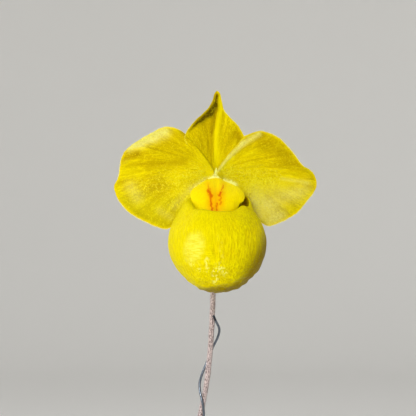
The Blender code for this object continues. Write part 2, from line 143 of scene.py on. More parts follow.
DORSAL_MARGIN = ((-11.6, 13), (-13.6, 16.8), (-12.9, 19.9), (-11.4, 22.2), (-9.1, 24.8), (-5.7, 28),
                 (-3.2, 30.4), (-1.2, 33.8), (-0.1, 37.2), (0.9, DORSAL_TIP_Z), (2.1, 37.2), (3.1, 33.3),
                 (4.3, 29.4), (7.2, 26), (10.1, 23.1), (11.8, 20.8), (13.2, 18), (13.4, 15.4), (11.4, 11.6))
DORSAL_VALLEY = ((3, -0.1), (8, -0.6), (14, -0.6), (21, -0.4), (25.3, 0.1), (29.1, 1.3), (34.8, 1.4),
                 (38, 1))
SYNSEPAL_FOOT = (-52, -128)
SYNSEPAL_MARGIN = ((10.6, -14), (12, -20.5), (10.2, -27.5), (6.2, -33), (1.6, -36.6), (-0.8, -36.6),
                   (-5.6, -33), (-9.8, -27.5), (-11.8, -20.5), (-10.4, -14))

# The rays, the steps along each, and the pleats of a petal, the hood and the lower sepal
PETAL_GRID = (250, 84, 13)
DORSAL_GRID = (210, 100, 8)
SYNSEPAL_GRID = (130, 70, 8)

# How far a margin curls back, and how far its very edge curls forward, as (share across, millimetres)
LEFT_CURL = ((0, 0.3), (0.25, 0.2), (0.45, 0.3), (0.56, 0.5), (0.62, 1.7), (0.84, 1.6), (0.92, 0.5),
             (1, 0.3))
RIGHT_CURL = ((0, 0.3), (0.2, 0.3), (0.5, 0.5), (0.62, 0.6), (0.8, 0.4), (0.86, 1.2), (0.95, 1), (1, 0.5))
DORSAL_CURL = ((0, 0.2), (0.5, 0), (1, 0.2))
SYNSEPAL_CURL = ((0, 0.2), (1, 0.2))
DORSAL_EDGE = ((0, 0), (0.14, 0), (0.2, 1.1), (0.3, 1.5), (0.44, 1.1), (0.5, 0.5), (0.56, 0.6), (0.62, 0),
               (1, 0))
FLAT_EDGE = ((0, 0), (1, 0))

# How far the last side of a petal turns back
LEFT_TUCK = 1.3
RIGHT_TUCK = 1.1

# Strokes laid on a petal, as (from x, z, to x, z, width, amount). A fold's amount is how far it stands
# forward, a colour's is how strong it is, and a tuft's is how thick its hairs stand.
LEFT_FOLDS = ((-43, 4.6, -25, 8, 2, 0.7), (-43, 8.8, -34, 10.4, 2.2, -0.8), (-40, 0.5, -20, 3.6, 1.4, 0.3),
              (-36, -4, -15, -0.6, 1.4, 0.3), (-38.5, -7.5, -33.5, -9.5, 3, 0.6),
              (-33, -1.8, -14, 1.2, 1.2, -0.3), (-30, -10, -15, -6, 1.5, 0.25),
              (-27, -14.5, -16, -9.5, 1.4, 0.2))
RIGHT_FOLDS = ((1.8, 2.3, 6.3, 8.6, 0.9, 0.2), (6.3, 8.6, 12.3, 14, 1.2, 0.3),
               (12.3, 14, 20.2, 18.9, 1.6, 0.35), (20, 1, 40, 0.6, 1.5, -0.3), (26, 4, 40, 2.2, 1.7, 0.4),
               (10, 9.6, 19.5, 14.6, 1.6, -0.3), (14, 6, 30, 8.5, 1.4, 0.2))
# The colour patches, in the order named here: painted sheen and highlights where a petal catches the light,
# painted shade on folds and on faces turned from the light, painted shadow, where the specks lie, and painted
# light where a petal lies in shade.
PATCHES = ("pale", "deep", "dark", "specks", "painted_light")
LEFT_PATCHES = {
    "pale": ((-39, 12.8, -33.8, 15.1, 1.6, 1), (-33.8, 15.1, -28.3, 17.9, 2.2, 1),
             (-28.3, 17.9, -22.8, 19.8, 2.4, 1), (-38, -5, -35, -9.5, 2.6, 0.34),
             (-25, -15.5, -20, -18.5, 1.6, 0.2), (-18.5, -14, -11, -5.5, 1.6, 0.26),
             (-43.3, 5.2, -45, -2.5, 0.5, 0.5), (-10.4, -6.4, -4.4, -1.8, 1.3, 0.7)),
    "deep": ((-42.8, 7.4, -35, 9.7, 1.7, 0.8), (-35, 9.9, -27, 11.4, 1.4, 0.3),
             (-43.5, 7, -42.5, 4.8, 1.2, 0.6), (-30, 4.2, -14, 6.5, 2, 0.55),
             (-28, -5.5, -12, -3.4, 1.6, 0.4), (-26, 12.5, -12, 9.5, 2.6, 0.35),
             (-21, -22.8, -35, -17, 1.4, 0.5), (-35, -17, -40, -12.5, 2, 0.6), (-36, -9, -22, -9, 3, 0.2),
             (-17, 16, -13, 19, 2.4, 0.35)),
    "specks": ((-19, -13, -9, -3, 4, 1), (-33, -6, -8, 1, 4.6, 0.8)),
    "painted_light": ((-17, -2, -13, -9, 3.8, 0.8), (-12, -2, -6, 0.5, 2.4, 0.5), (-42, 2, -34, 0.5, 2.4, 0.5)),
}
RIGHT_PATCHES = {
    "pale": ((1.2, 2, 6.3, 8.6, 0.5, 1), (6.3, 8.6, 12.5, 14.3, 0.8, 0.9),
             (12.5, 14.6, 19.8, 18.9, 1.1, 0.75), (18.5, -9, 26, -17, 4.4, 0.5),
             (24, -12.5, 40.5, -6, 3.2, 0.36), (24, -20.5, 30, -18, 2.2, 0.45),
             (30, -1.2, 42, -3, 0.8, 0.35), (17, -12, 19.5, -18, 2.2, 0.75), (26, -5.5, 38, -9.5, 3, 0.18),
             (4.4, -1.5, 9.4, -3.8, 0.9, 0.8)),
    "deep": ((21.5, 16.2, 33, 8.6, 3.6, 0.5), (12, 10.6, 21, 15, 1.3, 0.15), (30, 8, 38, 3, 3, 0.25),
             (28, -21, 41, -12, 0.7, 0.2)),
    "dark": ((15, -10, 16, -13.6, 0.8, 0.5),),
    "specks": ((16.5, -5, 18.5, -14, 3.4, 1), (5, 1.5, 26, -2, 4.6, 0.95)),
    "painted_light": ((6, -2.4, 38, -2, 4.6, 0.5), (16, -5, 20, -15, 3.8, 0.9), (2.6, 3, 7, 8, 1.5, 0.9),
               (17.5, -13, 20, -19, 2.8, 0.9), (13, 9.5, 18.5, 11, 1.6, 0.5), (20, -4, 30, -4, 3.6, 0.5)),
}
# The hood's patches: painted shade on folds and faces turned from the light, painted shadow inside its left
# margin, which curls forward, and painted light on the rib beside its valley.
DORSAL_PATCHES = {
    "deep": ((-1.6, 4, -1.6, 20, 0.8, 0.5), (-1.2, 20, 0.2, 30, 1.2, 0.8), (-5, 14, -5, 24, 3.6, 0.35),
             (10, 19, 11.4, 15.4, 2, 0.8), (4.5, 12, 6.5, 20, 2.4, 0.35), (-3.4, 5, -3.2, 16, 0.4, 0.5)),
    "dark": ((-11.9, 20.3, -9.2, 23.4, 0.7, 0.8), (-9.2, 23.4, -6, 25.8, 1, 1),
             (-6, 25.8, -2.4, 28.4, 1.5, 1), (-2.4, 28.4, 0, 31.5, 1.4, 1), (0, 31.5, 0.9, 36.2, 0.7, 1)),
    "painted_light": ((0.6, 4, 0.5, 20, 1, 1), (0.7, 20, 2.4, 30, 1.1, 1), (2.4, 30, 2.2, 35.5, 0.8, 1)),
}
LEFT_TUFTS = ((-10, -5.6, -4, -1.4, 1.1, 9),)
RIGHT_TUFTS = ((1.2, 2.4, 9, 11.6, 0.4, 6), (4, -1, 9, -3.4, 0.7, 5))
SHIELD_TUFTS = ((-2.3, -1.3, 1, -1, 0.9, 0.9), (4, -2.1, 5, -2.5, 0.6, 0.75),
                (6.4, -2.9, 8.6, -3.9, 0.8, 0.85), (-8.8, -4.9, -6, -3.2, 1.4, 0.3))

# The lip, a nearly round pouch: its mouth is this many degrees from the top at the front and the back.
# Its rim is lifted, spread and less rolled at places round it, as (degrees, width, amount).
LIP_CENTRE = (0.8, -14, -30.3)
LIP_RADII = (21.9, 19.5, 21.9)
LIP_MOUTH = (48.2, 32)
LIP_CLAW_RISE = 0.475
LIP_CLAW_DROP = 4
LIP_CLAW_EDGE = 1.6
LIP_ROLL_LENGTH = 5.6
LIP_ROLL_RADIUS = 2.3
RIM_LIFTS = ((-90, 50, 2), (-42, 12, -1.1), (2, 32, -1), (30, 10, -0.6), (56, 10, 0.5), (80, 14, -1),
             (110, 13, 2.6))
RIM_SPREAD = (96, 26, 1.4)
RIM_UNROLLED = (106, 30, 0.9)
POUCH_GRID = (270, 112, 22)

# The pouch's relief in layers, as (width, depth and height of the lumps, seed, share)
WRINKLES = ((1.5, 1.5, 7, 1, 0.65), (0.8, 0.8, 3.4, 2, 0.35))
DIMPLES = ((3.2, 3.2, 2.6, 3, 0.6), (1.7, 1.7, 1.4, 4, 0.4))
SWELLS = ((9, 9, 11, 5, 1),)

# Its painted highlight patch and its level wrinkles, as ovals of (middle x, z, half width, half height,
# lean), its painted wet gleams, and the wall inside its mouth, painted lighter to lift the shade there
PAINTED_HIGHLIGHT_PATCH = (-9.414, -31.6, 4.5, 6.8, 0.14)
LEVEL_PATCH = (-4.4, -35, 5, 7.5, 0)
PAINTED_GLEAMS = ((-0.2, -46.2, 1.7, -40, 1.3, 1), (3.6, -40.8, 4.6, -43.4, 1.1, 0.7),
                (-3.9, -36.5, -3.5, -42, 0.8, 0.7), (-0.7, -41.5, -0.5, -46, 0.7, 0.9),
                (2, -27, 3, -37, 0.9, 0.15), (-11, -38, -7, -41.5, 1.4, 0.45))
HOLLOW_PAINTED_LIGHT = ((13.6, -10.6, 14.4, -14.5, 2.2, 1.3),)

# The staminode, a domed shield, as (x, z) round its edge from the top by the right, its points out from
# its middle, and its broken red-brown streaks, each a run of (x, z), its half width and its strength
SHIELD_EDGE = ((0.3, -0.7), (1.9, -0.9), (4.2, -2.1), (6.6, -3), (9, -4.1), (11.2, -5.6), (12.7, -7.6),
               (13.1, -9.7), (12.3, -11.6), (10.8, -12.7), (10.1, -14.2), (8.6, -15.8), (5.4, -17.3),
               (1.15, -17.9), (-3.1, -17.6), (-7.6, -16.6), (-9.7, -14.2), (-10.3, -11.6), (-10.9, -9.2),
               (-10.8, -7.4), (-9.6, -5.5), (-7, -3.6), (-3.7, -1.6), (-1.2, -0.8))
SHIELD_GRID = (64, 260)
SHIELD_MIDDLE_X = 1.15
SHIELD_MIDDLE_Z = -9
SHIELD_TOP_Y = -9.2
SHIELD_TOP_Z = -0.7
SHIELD_LEAN = 0.62
SHIELD_DOME = 2.6
SHIELD_THICKNESS = 1.3
SHIELD_STREAKS = ((((-3.2, -3.9), (-2.9, -6.2)), 0.38, 0.6),
                  (((-2.7, -6.7), (-2.4, -7.6), (-1.8, -9.3)), 0.74, 1),
                  (((-3.8, -6.8), (-3, -7.2)), 0.36, 0.55),
                  (((-1.8, -9.4), (-2.1, -11.4), (-1.7, -13.2), (-1.1, -15.6)), 0.56, 0.9),
                  (((-0.8, -9.8), (-1.1, -12)), 0.3, 0.4), (((3.6, -4.5), (2.9, -6.4)), 0.46, 0.65),
                  (((2.7, -7.6), (2, -8.9)), 0.8, 1), (((2.5, -9.9), (2, -10.9)), 0.56, 0.75),
                  (((2.6, -11.6), (2.3, -12.6)), 0.5, 0.7), (((0.8, -12.4), (0.6, -15.4)), 0.42, 0.7),
                  (((3.2, -8.8), (2.7, -10.4)), 0.34, 0.4))

# The column behind the shield, as (x, y, z, radius), and the radii of what it carries; each grid is the
# rings and the points of a ring
COLUMN_LINE = ((0, -0.9, -1, 1.5), (0.05, -2.8, -1.3, 1.55), (0.4, -5, -2.1, 1.75), (0.7, -8.5, -4.2, 2.05),
               (1.1, -13.2, -7.4, 2.65))
COLUMN_GRID = (60, 36)
ANTHER_OUT = 2.9
ANTHER_RADII = (1.5, 1.3, 1.2)
STIGMA_RADII = (2.4, 2.1, 2.3)
BALL_GRID = (26, 40)

# Hairs, as (length, width, how far they lean apart, how far they droop)
PETAL_DOWN = (0.6, 0.045, 0.5, 0.1)
RIM_DOWN = (0.5, 0.045, 0.5, 0)
HOOD_DOWN = (0.45, 0.045, 0.5, 0)
HEART_HAIRS = (0.9, 0.065, 0.3, 0)
OVARY_DOWN = (0.55, 0.05, 0.35, 0.1)
BRACT_DOWN = (0.5, 0.05, 0.35, 0.1)
STEM_DOWN = (0.5, 0.045, 0.4, 0.1)

# The shield's tufts: all but the length of their hairs, and how many rows of the shield bear them
TUFT_HAIRS = (0.075, 0.9, 0)
TUFT_ROWS = 6


def ease(value):
    """0 below 0, 1 above 1, and a smooth rise between them."""
    inside = np.clip(value, 0, 1)
    return inside * inside * (3 - 2 * inside)


def bell(value, middle, width):
    return np.exp(-(((value - middle) / width) ** 2))


def unit(ways):
    return ways / np.maximum(np.linalg.norm(ways, axis=-1, keepdims=True), 1e-9)


def table(at, pairs):
    """The value at a place in a table of (place, value), on straight lines between its rows."""
    return np.interp(at, *zip(*pairs))


def run_along(line):
    """How far along a line each of its points lies."""
    return np.append(0, np.cumsum(np.linalg.norm(np.diff(line, axis=0), axis=1)))


def smooth_line(points, count):
    """count evenly spaced points on one smooth curve through the given points."""
    knots = np.array(points, float)
    gaps = np.sqrt(np.linalg.norm(np.diff(knots, axis=0), axis=1))
    at = np.append(0, np.cumsum(gaps))
    slopes = np.gradient(knots, at, axis=0)
    fine = np.linspace(0, at[-1], 40 * len(knots))
    span = np.clip(np.searchsorted(at, fine, side="right") - 1, 0, len(gaps) - 1)
    width = gaps[span][:, None]
    part = (fine - at[span])[:, None] / width
    rest = 1 - part
    curve = (
        (1 + 2 * part) * rest**2 * knots[span]
        + part * rest**2 * width * slopes[span]
        + part**2 * (3 - 2 * part) * knots[span + 1]
        - part**2 * rest * width * slopes[span + 1]
    )
    run = run_along(curve)
    wanted = np.linspace(0, run[-1], count)
    return np.column_stack([np.interp(wanted, run, axis) for axis in curve.T])


# Random heights, a power of 2 of them, and the factors that lead from a place to one of them
LUMPS = np.random.default_rng(11).uniform(-1, 1, 8192)
LUMP_FACTORS = (73856093, 19349663, 83492791)
LUMP_SEED_FACTOR = 2654435


def lumps(x, y, z=0, seed=0):
    """Smooth unevenness from -1 to 1, with one lump to each unit of x, y and z."""
    axes = np.broadcast_arrays(x, y, z)
    cells = [np.floor(axis).astype(np.int64) for axis in axes]
    shares = [ease(axis - np.floor(axis)) for axis in axes]
    total = np.zeros(axes[0].shape)
    for corner in range(8):
        mixed = seed * LUMP_SEED_FACTOR
        weight = 1
        for bit, (cell, share, factor) in enumerate(zip(cells, shares, LUMP_FACTORS)):
            add = (corner >> bit) & 1
            mixed = mixed ^ ((cell + add) * factor)
            weight = weight * (share if add else 1 - share)
        total += weight * LUMPS[(mixed ^ (mixed >> 9)) & (len(LUMPS) - 1)]
    return total


def layered(points, layers):
    """Unevenness of several sizes at points."""
    x, y, z = np.moveaxis(points, -1, 0)
    return sum(share * lumps(x / wide, y / deep, z / tall, seed) for wide, deep, tall, seed, share in layers)


def near_line(x, z, line):
    """How far each point is from a run of points."""
    away = np.full(x.shape, 99.0)
    for (from_x, from_z), (to_x, to_z) in zip(line, line[1:]):
        run_x, run_z = to_x - from_x, to_z - from_z
        share = np.clip(((x - from_x) * run_x + (z - from_z) * run_z) / (run_x**2 + run_z**2), 0, 1)
        away = np.minimum(away, np.hypot(x - from_x - share * run_x, z - from_z - share * run_z))
    return away


def strokes(x, z, lines):
    """Soft strokes, each as high as its amount along its middle."""
    total = np.zeros(x.shape)
    for from_x, from_z, to_x, to_z, width, amount in lines:
        total += amount * bell(near_line(x, z, ((from_x, from_z), (to_x, to_z))), 0, width)
    return total


def oval(x, z, patch):
    """0 in an oval's middle and 1 at its edge, growing with the square of the way out."""
    middle_x, middle_z, wide, tall, lean = patch
    return ((x - middle_x - lean * (z - middle_z)) / wide) ** 2 + ((z - middle_z) / tall) ** 2


class Value:
    """A node's output that is used like a number: each sum on it adds a Math node."""

    def __init__(self, look, socket):
        self.look = look
        self.socket = socket

    def math(self, operation, *numbers):
        return self.look.node("Math", {"operation": operation}, dict(enumerate(numbers)))

    def __add__(self, other):
        return self.math("ADD", self, other)

    def __sub__(self, other):
        return self.math("SUBTRACT", self, other)

    def __rsub__(self, other):
        return self.math("SUBTRACT", other, self)

    def __mul__(self, other):
        return self.math("MULTIPLY", self, other)

    __radd__ = __add__
    __rmul__ = __mul__

    def between(self, low, high):
        """0 below low and 1 above high, with a smooth rise; the other way round if low is the greater."""
        sockets = {"Value": self, "From Min": low, "From Max": high}
        return self.look.node("MapRange", {"interpolation_type": "SMOOTHSTEP"}, sockets)


class Look:
    """A finish: one Principled shader, plain numbers on its own sockets, and the nodes that vary it."""

    def __init__(self, name, plain):
        self.material = bpy.data.materials.new(name)
        self.material.use_nodes = True
        self.tree = self.material.node_tree
        self.shader = self.tree.nodes["Principled BSDF"]
        for socket, value in plain.items():
            self.shader.inputs[socket].default_value = value

    def node(self, kind, settings, sockets, output=0):
        made = self.tree.nodes.new("ShaderNode" + kind)
        for name, value in settings.items():
            setattr(made, name, value)
        for name, value in sockets.items():
            self.feed(made.inputs[name], value)
        return Value(self, made.outputs[output])

    def feed(self, socket, value):
        if isinstance(value, Value):
            self.tree.links.new(value.socket, socket)
        elif socket.type == "RGBA":
            socket.default_value = (*value, 1)
        else:
            socket.default_value = value

    def mark(self, name, output="Fac"):
        """What a piece's mark of this name holds at each point."""
        return self.node("Attribute", {"attribute_name": name}, {}, output)

    def grain(self, scale, stretch=(1, 1, 1), detail=3, rough=0.5, warp=0, on=None):
        """Noise over the piece, in lumps to the millimetre, or over the mark that it is on."""
        if on:
            at = self.mark(on, "Vector")
        else:
            at = self.node("TexCoord", {}, {}, "Object")
            stretch = [share / MM for share in stretch]
        at = self.node("VectorMath", {"operation": "MULTIPLY"}, {0: at, 1: stretch})
        sockets = {"Vector": at, "Scale": scale, "Detail": detail, "Roughness": rough, "Distortion": warp}
        return self.node("TexNoise", {}, sockets, "Fac")

    def mix(self, share, low, high):
        return self.node("Mix", {"data_type": "RGBA"}, {0: share, 6: low, 7: high}, 2)

    def paint(self, ground, *coats):
        """A ground colour and the coats laid over it, each as (share, red, green, blue)."""
        colour = tint(*ground)
        for share, *shade in coats:
            colour = self.mix(share, colour, tint(*shade))
        return colour

    def finish(self, colour, roughness, *bumps):
        """The material, with bumps of (height from 0 to 1, how many millimetres that is)."""
        fed = {}
        for height, depth in bumps:
            fed = {"Normal": self.node("Bump", {}, {"Height": height, "Distance": depth * MM, **fed})}
        for name, value in {"Base Color": colour, "Roughness": roughness, **fed}.items():
            self.feed(self.shader.inputs[name], value)
        return self.material


def tint(red, green, blue):
    """A colour as a screen shows it, 0 to 255, in the linear numbers that a shader takes."""
    shares = [channel / 255 for channel in (red, green, blue)]
    return tuple(c / 12.92 if c <= 0.04045 else ((c + 0.055) / 1.055) ** 2.4 for c in shares)


def waxy(name, specular, sheen, flesh, depth, glow):
    """A look of living skin: its sheen's strength and colour, how much light goes in, and how deep."""
    return Look(name, {"Specular IOR Level": specular, "Specular Tint": (*sheen, 1),
                       "Subsurface Weight": flesh, "Subsurface Scale": depth * MM, "Subsurface Radius": glow})


def petal_skin(name, fold):
    """Warm yellow velvet with faint veins, fine specks and a brighter rim, under patches of painted sheen and
    highlights, painted light, painted shade and painted shadow.
    """
    look = waxy(name, 0.05, (1, 0.9, 0.15), 0.1, 1.2, (1, 0.7, 0.05))
    veins = look.grain(2, (34, 1.4, 1), 5, 0.6, 0.2, on="leaf")
    folds = look.grain(2, (13, 1.8, 1), 3, 0.55, 0.4, on="leaf")
    short = look.grain(2, (44, 11, 1), 5, 0.65, 0.3, on="leaf")
    velvet = look.grain(1.5, detail=4, rough=0.72)
    pearls = look.grain(1.15, rough=0.6, warp=0.5)
    broad = look.grain(0.11, detail=2)
    specks = look.mark("specks")
    colour = look.paint(
        (210, 185, 0),
        (short.between(0.35, 0.65), 251, 231, 2),
        (veins.between(0.6, 0.4) * 0.45, 198, 170, 0),
        # The pleats' darker and lighter bands: painted shade and light of the folds, over the real relief.
        (folds.between(0.56, 0.38) * fold, 194, 164, 0),
        (folds.between(0.54, 0.68) * fold, 250, 228, 4),
        (broad.between(0.4, 0.7) * 0.3, 228, 196, 0),
        # Lighter towards the heart: painted light that lifts the shade where the petals meet.
        (look.mark("foot") * (0.3 + 0.7 * short), 255, 236, 4),
        # Painted shade on folds and on faces turned from the light.
        (look.mark("deep") * (0.65 + 0.6 * short), 178, 146, 0),
        # Painted light where a petal lies in shade, and on ridges that face the light.
        (look.mark("painted_light") * 0.85, 248, 230, 2),
        # Painted shadow, beside the shield and inside the hood's curled margin.
        (look.mark("dark") * (0.75 + 0.5 * short), 96, 78, 1),
        (look.mark("lime") * 0.4, 196, 194, 14),
        (look.mark("rim") * 0.65, 248, 218, 0),
        # Painted sheen and highlights where a petal catches the light.
        (look.mark("pale") * (0.45 + 0.8 * velvet.between(0.35, 0.65)), 240, 231, 120),
        (velvet.between(0.53, 0.63) * (0.45 + 0.25 * specks), 252, 240, 34),
        (pearls.between(0.46, 0.36) * specks * 0.35, 194, 166, 0),
        (pearls.between(0.54, 0.64) * specks * 0.85, 255, 243, 50),
        (look.mark("back") * 0.35, 204, 188, 24),
    )
    bumps = ((veins, 0.14), (short, 0.3), (velvet, 0.5), (pearls * specks, 0.5))
    return look.finish(colour, 0.46 + 0.16 * velvet, *bumps)


def pouch_skin():
    """Waxy yellow with upright wrinkles that turn level across a painted highlight patch, and wet dimples
    below with painted gleams; painted shade lies in its creases, and painted light on the wall inside its
    mouth.
    """
    look = waxy("pouch_skin", 0.05, (1, 0.95, 0.2), 0.12, 1.2, (1, 0.75, 0.05))
    upright = look.grain(0.85, (1.7, 1.7, 0.3), 3, 0.55, 0.6)
    level = look.grain(0.85, (0.32, 0.32, 1.5), 3, 0.6, 0.7)
    velvet = look.grain(1.6, detail=4, rough=0.72)
    beads = look.grain(0.8, (1, 1, 0.8), 3, 0.6, 0.5)
    broad = look.grain(0.09, detail=2)
    back = look.mark("back")
    freckles = look.grain(0.9, detail=1).between(0.62, 0.68) * back
    wrinkles = upright + (level - upright) * look.mark("level") * 0.7
    colour = look.paint(
        (214, 193, 0),
        # Lighter on the wrinkles' ridges and darker between them: painted shade of the wrinkles.
        (wrinkles.between(0.32, 0.66), 248, 233, 0),
        (look.mark("smooth") * 0.6, 229, 211, 0),
        (broad.between(0.4, 0.7) * 0.3, 236, 208, 0),
        # Painted shade in the creases.
        (look.mark("groove") * 0.6, 208, 184, 0),
        (look.mark("shade") * (0.75 + 0.3 * upright), 130, 104, 0),
        (velvet.between(0.54, 0.68) * 0.4, 255, 246, 12),
        # The painted highlight patch.
        (look.mark("pale") * (0.35 + 0.8 * level.between(0.38, 0.6)), 244, 238, 84),
        # Painted wet gleams.
        (look.mark("painted_gleam") * beads.between(0.5, 0.58), 255, 250, 120),
        (back * 0.35, 214, 196, 30),
        (freckles * look.mark("deep") * 0.7, 140, 60, 30),
        # Painted light on the wall inside the mouth, which lies in shade.
        (look.mark("hollow") * (0.6 + 0.4 * velvet), 255, 214, 0),
    )
    return look.finish(colour, 0.36 + 0.14 * velvet, (wrinkles, 0.5), (velvet, 0.2))


def shield_skin():
    look = waxy("shield_skin", 0.12, (1, 0.9, 0.2), 0.12, 1, (1, 0.6, 0.1))
    lines = look.grain(1.1, (2.2, 1, 0.16), 4, 0.6)
    cells = look.grain(1.6, detail=4)
    broken = look.mark("streak") * (0.1 + 1.5 * look.grain(1.6, (1.2, 1, 0.7), 4, 0.7))
    colour = look.paint(
        (242, 216, 0),
        (lines.between(0.35, 0.65), 250, 228, 0),
        (look.mark("wash") * (0.5 + 0.5 * lines.between(0.4, 0.62)), 250, 176, 0),
        (look.mark("halo") * (0.35 + 0.7 * cells), 240, 164, 0),
        (broken.between(0.12, 0.8) * 0.9, 208, 92, 0),
    )
    return look.finish(colour, 0.36 + 0.12 * cells, (lines, 0.12), (cells, 0.08))


def moist_skin(name, specular, flesh, depth, size, low, high, rough, relief):
    """Fine moist cells in two near colours, for the column and its pollen."""
    look = Look(name, {"Specular IOR Level": specular, "Subsurface Weight": flesh,
                       "Subsurface Scale": depth * MM})
    cells = look.grain(size, detail=4)
    colour = look.paint(low, (cells.between(0.35, 0.65), *high))
    return look.finish(colour, rough + 0.1 * cells, (cells, relief))


def hair_skin(name, shade, glow):
    """Fine down with a faint glow of its own colour: painted light that stands in for the light the hairs
    pass on.
    """
    colour = tint(*shade)
    look = Look(name, {"Specular IOR Level": 0.2, "Emission Color": (*colour, 1), "Emission Strength": glow})
    thick = look.grain(0.8, detail=2)
    darker = [0.85 * channel for channel in colour]
    return look.finish(look.mix(thick.between(0.3, 0.7), darker, colour), 0.5 + 0.1 * thick)


def stem_skin():
    look = Look("stem_skin", {"Specular IOR Level": 0.2})
    spots = look.grain(1.7, (1, 1, 0.8), 4, 0.62)
    broad = look.grain(0.22, (1, 1, 0.35), 2)
    lines = look.grain(0.9, (3, 3, 0.12))
    colour = look.paint(
        (216, 198, 196),
        (lines.between(0.35, 0.7) * 0.5, 200, 184, 172),
        ((spots + broad * 0.14).between(0.6, 0.5) * 0.9, 106, 86, 82),
        (look.mark("wet") * 0.7, 96, 98, 60),
    )
    return look.finish(colour, 0.66 + 0.18 * spots, (lines, 0.12), (spots, 0.2))


def ovary_skin():
    look = Look("ovary_skin", {"Specular IOR Level": 0.25, "Sheen Weight": 0.2, "Sheen Roughness": 0.4,
                               "Sheen Tint": (1, 1, 0.9, 1)})
    blotches = look.grain(0.55, detail=5, rough=0.66)
    fine = look.grain(1.8)
    colour = look.paint(
        (136, 132, 62),
        (blotches.between(0.42, 0.62), 172, 166, 92),
        (look.mark("rib") * 0.5, 122, 92, 68),
        (look.mark("bloom_end") * 0.8, 206, 196, 84),
    )
    return look.finish(colour, 0.62 + 0.14 * fine, (fine, 0.1))


def bract_skin():
    look = Look("bract_skin", {"Specular IOR Level": 0.28, "Sheen Weight": 0.15})
    veins = look.grain(1.6, (26, 1, 1), on="leaf")
    spots = look.grain(0.75, detail=4, rough=0.6)
    colour = look.paint(
        (108, 122, 48),
        (veins.between(0.35, 0.65), 146, 156, 72),
        (spots.between(0.56, 0.64) * 0.75, 94, 58, 46),
        (look.mark("rim") * 0.6, 168, 150, 96),
    )
    return look.finish(colour, 0.55 + 0.1 * spots, (veins, 0.14))


def wire_skin():
    look = Look("wire_skin", {"Metallic": 1})
    scuffs = look.grain(2.2, (1, 1, 0.5), 4, 0.6)
    haze = look.grain(0.16, detail=2)
    colour = look.paint(
        (92, 99, 109),
        (scuffs.between(0.4, 0.7), 132, 140, 150),
        (haze.between(0.5, 0.75) * 0.4, 72, 77, 87),
        (look.mark("cut"), 46, 46, 50),
    )
    return look.finish(colour, 0.2 + 0.18 * haze, (scuffs, 0.02))


def glaze_skin():
    """A charcoal satin glaze that breaks to rust where it runs thin, over dark unglazed clay at the foot."""
    look = Look("charcoal_glaze", {"Specular IOR Level": 0.5, "Coat Weight": 0.25, "Coat Roughness": 0.12})
    cloud = look.grain(0.05, (1, 1, 0.6), 4, 0.55)
    pits = look.grain(0.9)
    rings = look.grain(0.42, (0.03, 0.03, 1), 4)
    clay = look.mark("clay")
    glaze = look.paint(
        (48, 50, 54),
        (cloud.between(0.35, 0.65), 66, 69, 73),
        (look.grain(1.7, detail=1).between(0.69, 0.74) * 0.6, 118, 104, 88),
        (look.mark("thin") * (0.6 + 0.8 * look.grain(0.35, detail=4)).between(0.75, 1.25), 128, 82, 48),
    )
    bare = look.paint((88, 74, 64), (pits.between(0.35, 0.65), 112, 96, 84))
    satin = 0.3 + 0.14 * cloud
    rough = satin + clay * (0.85 - satin)
    return look.finish(look.mix(clay, glaze, bare), rough, (rings, 0.35), (pits, 0.06))


def water_skin():
    look = Look("vase_water", {"Transmission Weight": 0.9, "IOR": 1.333})
    ripple = look.grain(0.12, detail=1)
    return look.finish(look.paint((206, 220, 222), (ripple, 220, 230, 230)), 0.03, (ripple, 0.05))


def paper_skin():
    look = Look("pale_paper", {"Specular IOR Level": 0.1})
    cloud = look.grain(1.1, (MM, MM, MM), 2)
    return look.finish(look.paint((240, 239, 236), (cloud, 244, 243, 240)), 0.85 + 0.08 * cloud)


def grid_faces(rows, across, loop=False, first=0):
    """Faces between neighbouring rows of a grid, whose first point has the number first."""
    number = np.arange(rows * across).reshape(rows, across) + first
    if loop:
        number = np.column_stack([number, number[:, 0]])
    corners = (number[:-1, :-1], number[:-1, 1:], number[1:, 1:], number[1:, :-1])
    return np.stack(corners, axis=-1).reshape(-1, 4).tolist()


def facing(grid, loop=False):
    """The unit normals of a grid of points."""
    if loop:
        across = np.gradient(np.concatenate([grid[:, -1:], grid, grid[:, :1]], axis=1), axis=1)[:, 1:-1]
    else:
        across = np.gradient(grid, axis=1)
    return unit(np.cross(across, np.gradient(grid, axis=0)))


def piece(name, points, faces, material, marks=None, nodes=(), offset=BLOOM_AT, normals=None):
    """An object from points in millimetres, with its faces turned outward and its marks for the shader."""
    mesh = bpy.data.meshes.new(name)
    mesh.from_pydata(((points + np.array(offset)) * MM).tolist(), [], faces)
    for mark, values in (marks or {}).items():
        kind, field = ("FLOAT", "value") if values.ndim == 1 else ("FLOAT_VECTOR", "vector")
        mesh.attributes.new(mark, kind, "POINT").data.foreach_set(field, values.astype(np.float32).ravel())
    bm = bmesh.new()
    bm.from_mesh(mesh)
    bmesh.ops.recalc_face_normals(bm, faces=bm.faces)
    bm.to_mesh(mesh)
    bm.free()
    mesh.shade_smooth()
    mesh.set_sharp_from_angle(angle=math.radians(50))
    if normals is not None:
        mesh.normals_split_custom_set_from_vertices(normals.tolist())
    mesh.materials.append(material)
    made = bpy.data.objects.new(name, mesh)
    bpy.context.scene.collection.objects.link(made)
    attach(made, "root")
    if nodes:
        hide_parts(*nodes)


def body(name, grid, material, marks=None, nodes=(), offset=BLOOM_AT):
    """A closed piece from rings of points, with flat ends."""
    rows, across = grid.shape[:2]
    last = (rows - 1) * across
    faces = grid_faces(rows, across, loop=True) + [list(range(across)), list(range(last, last + across))]
    piece(name, grid.reshape(-1, 3), faces, material, marks, nodes, offset)


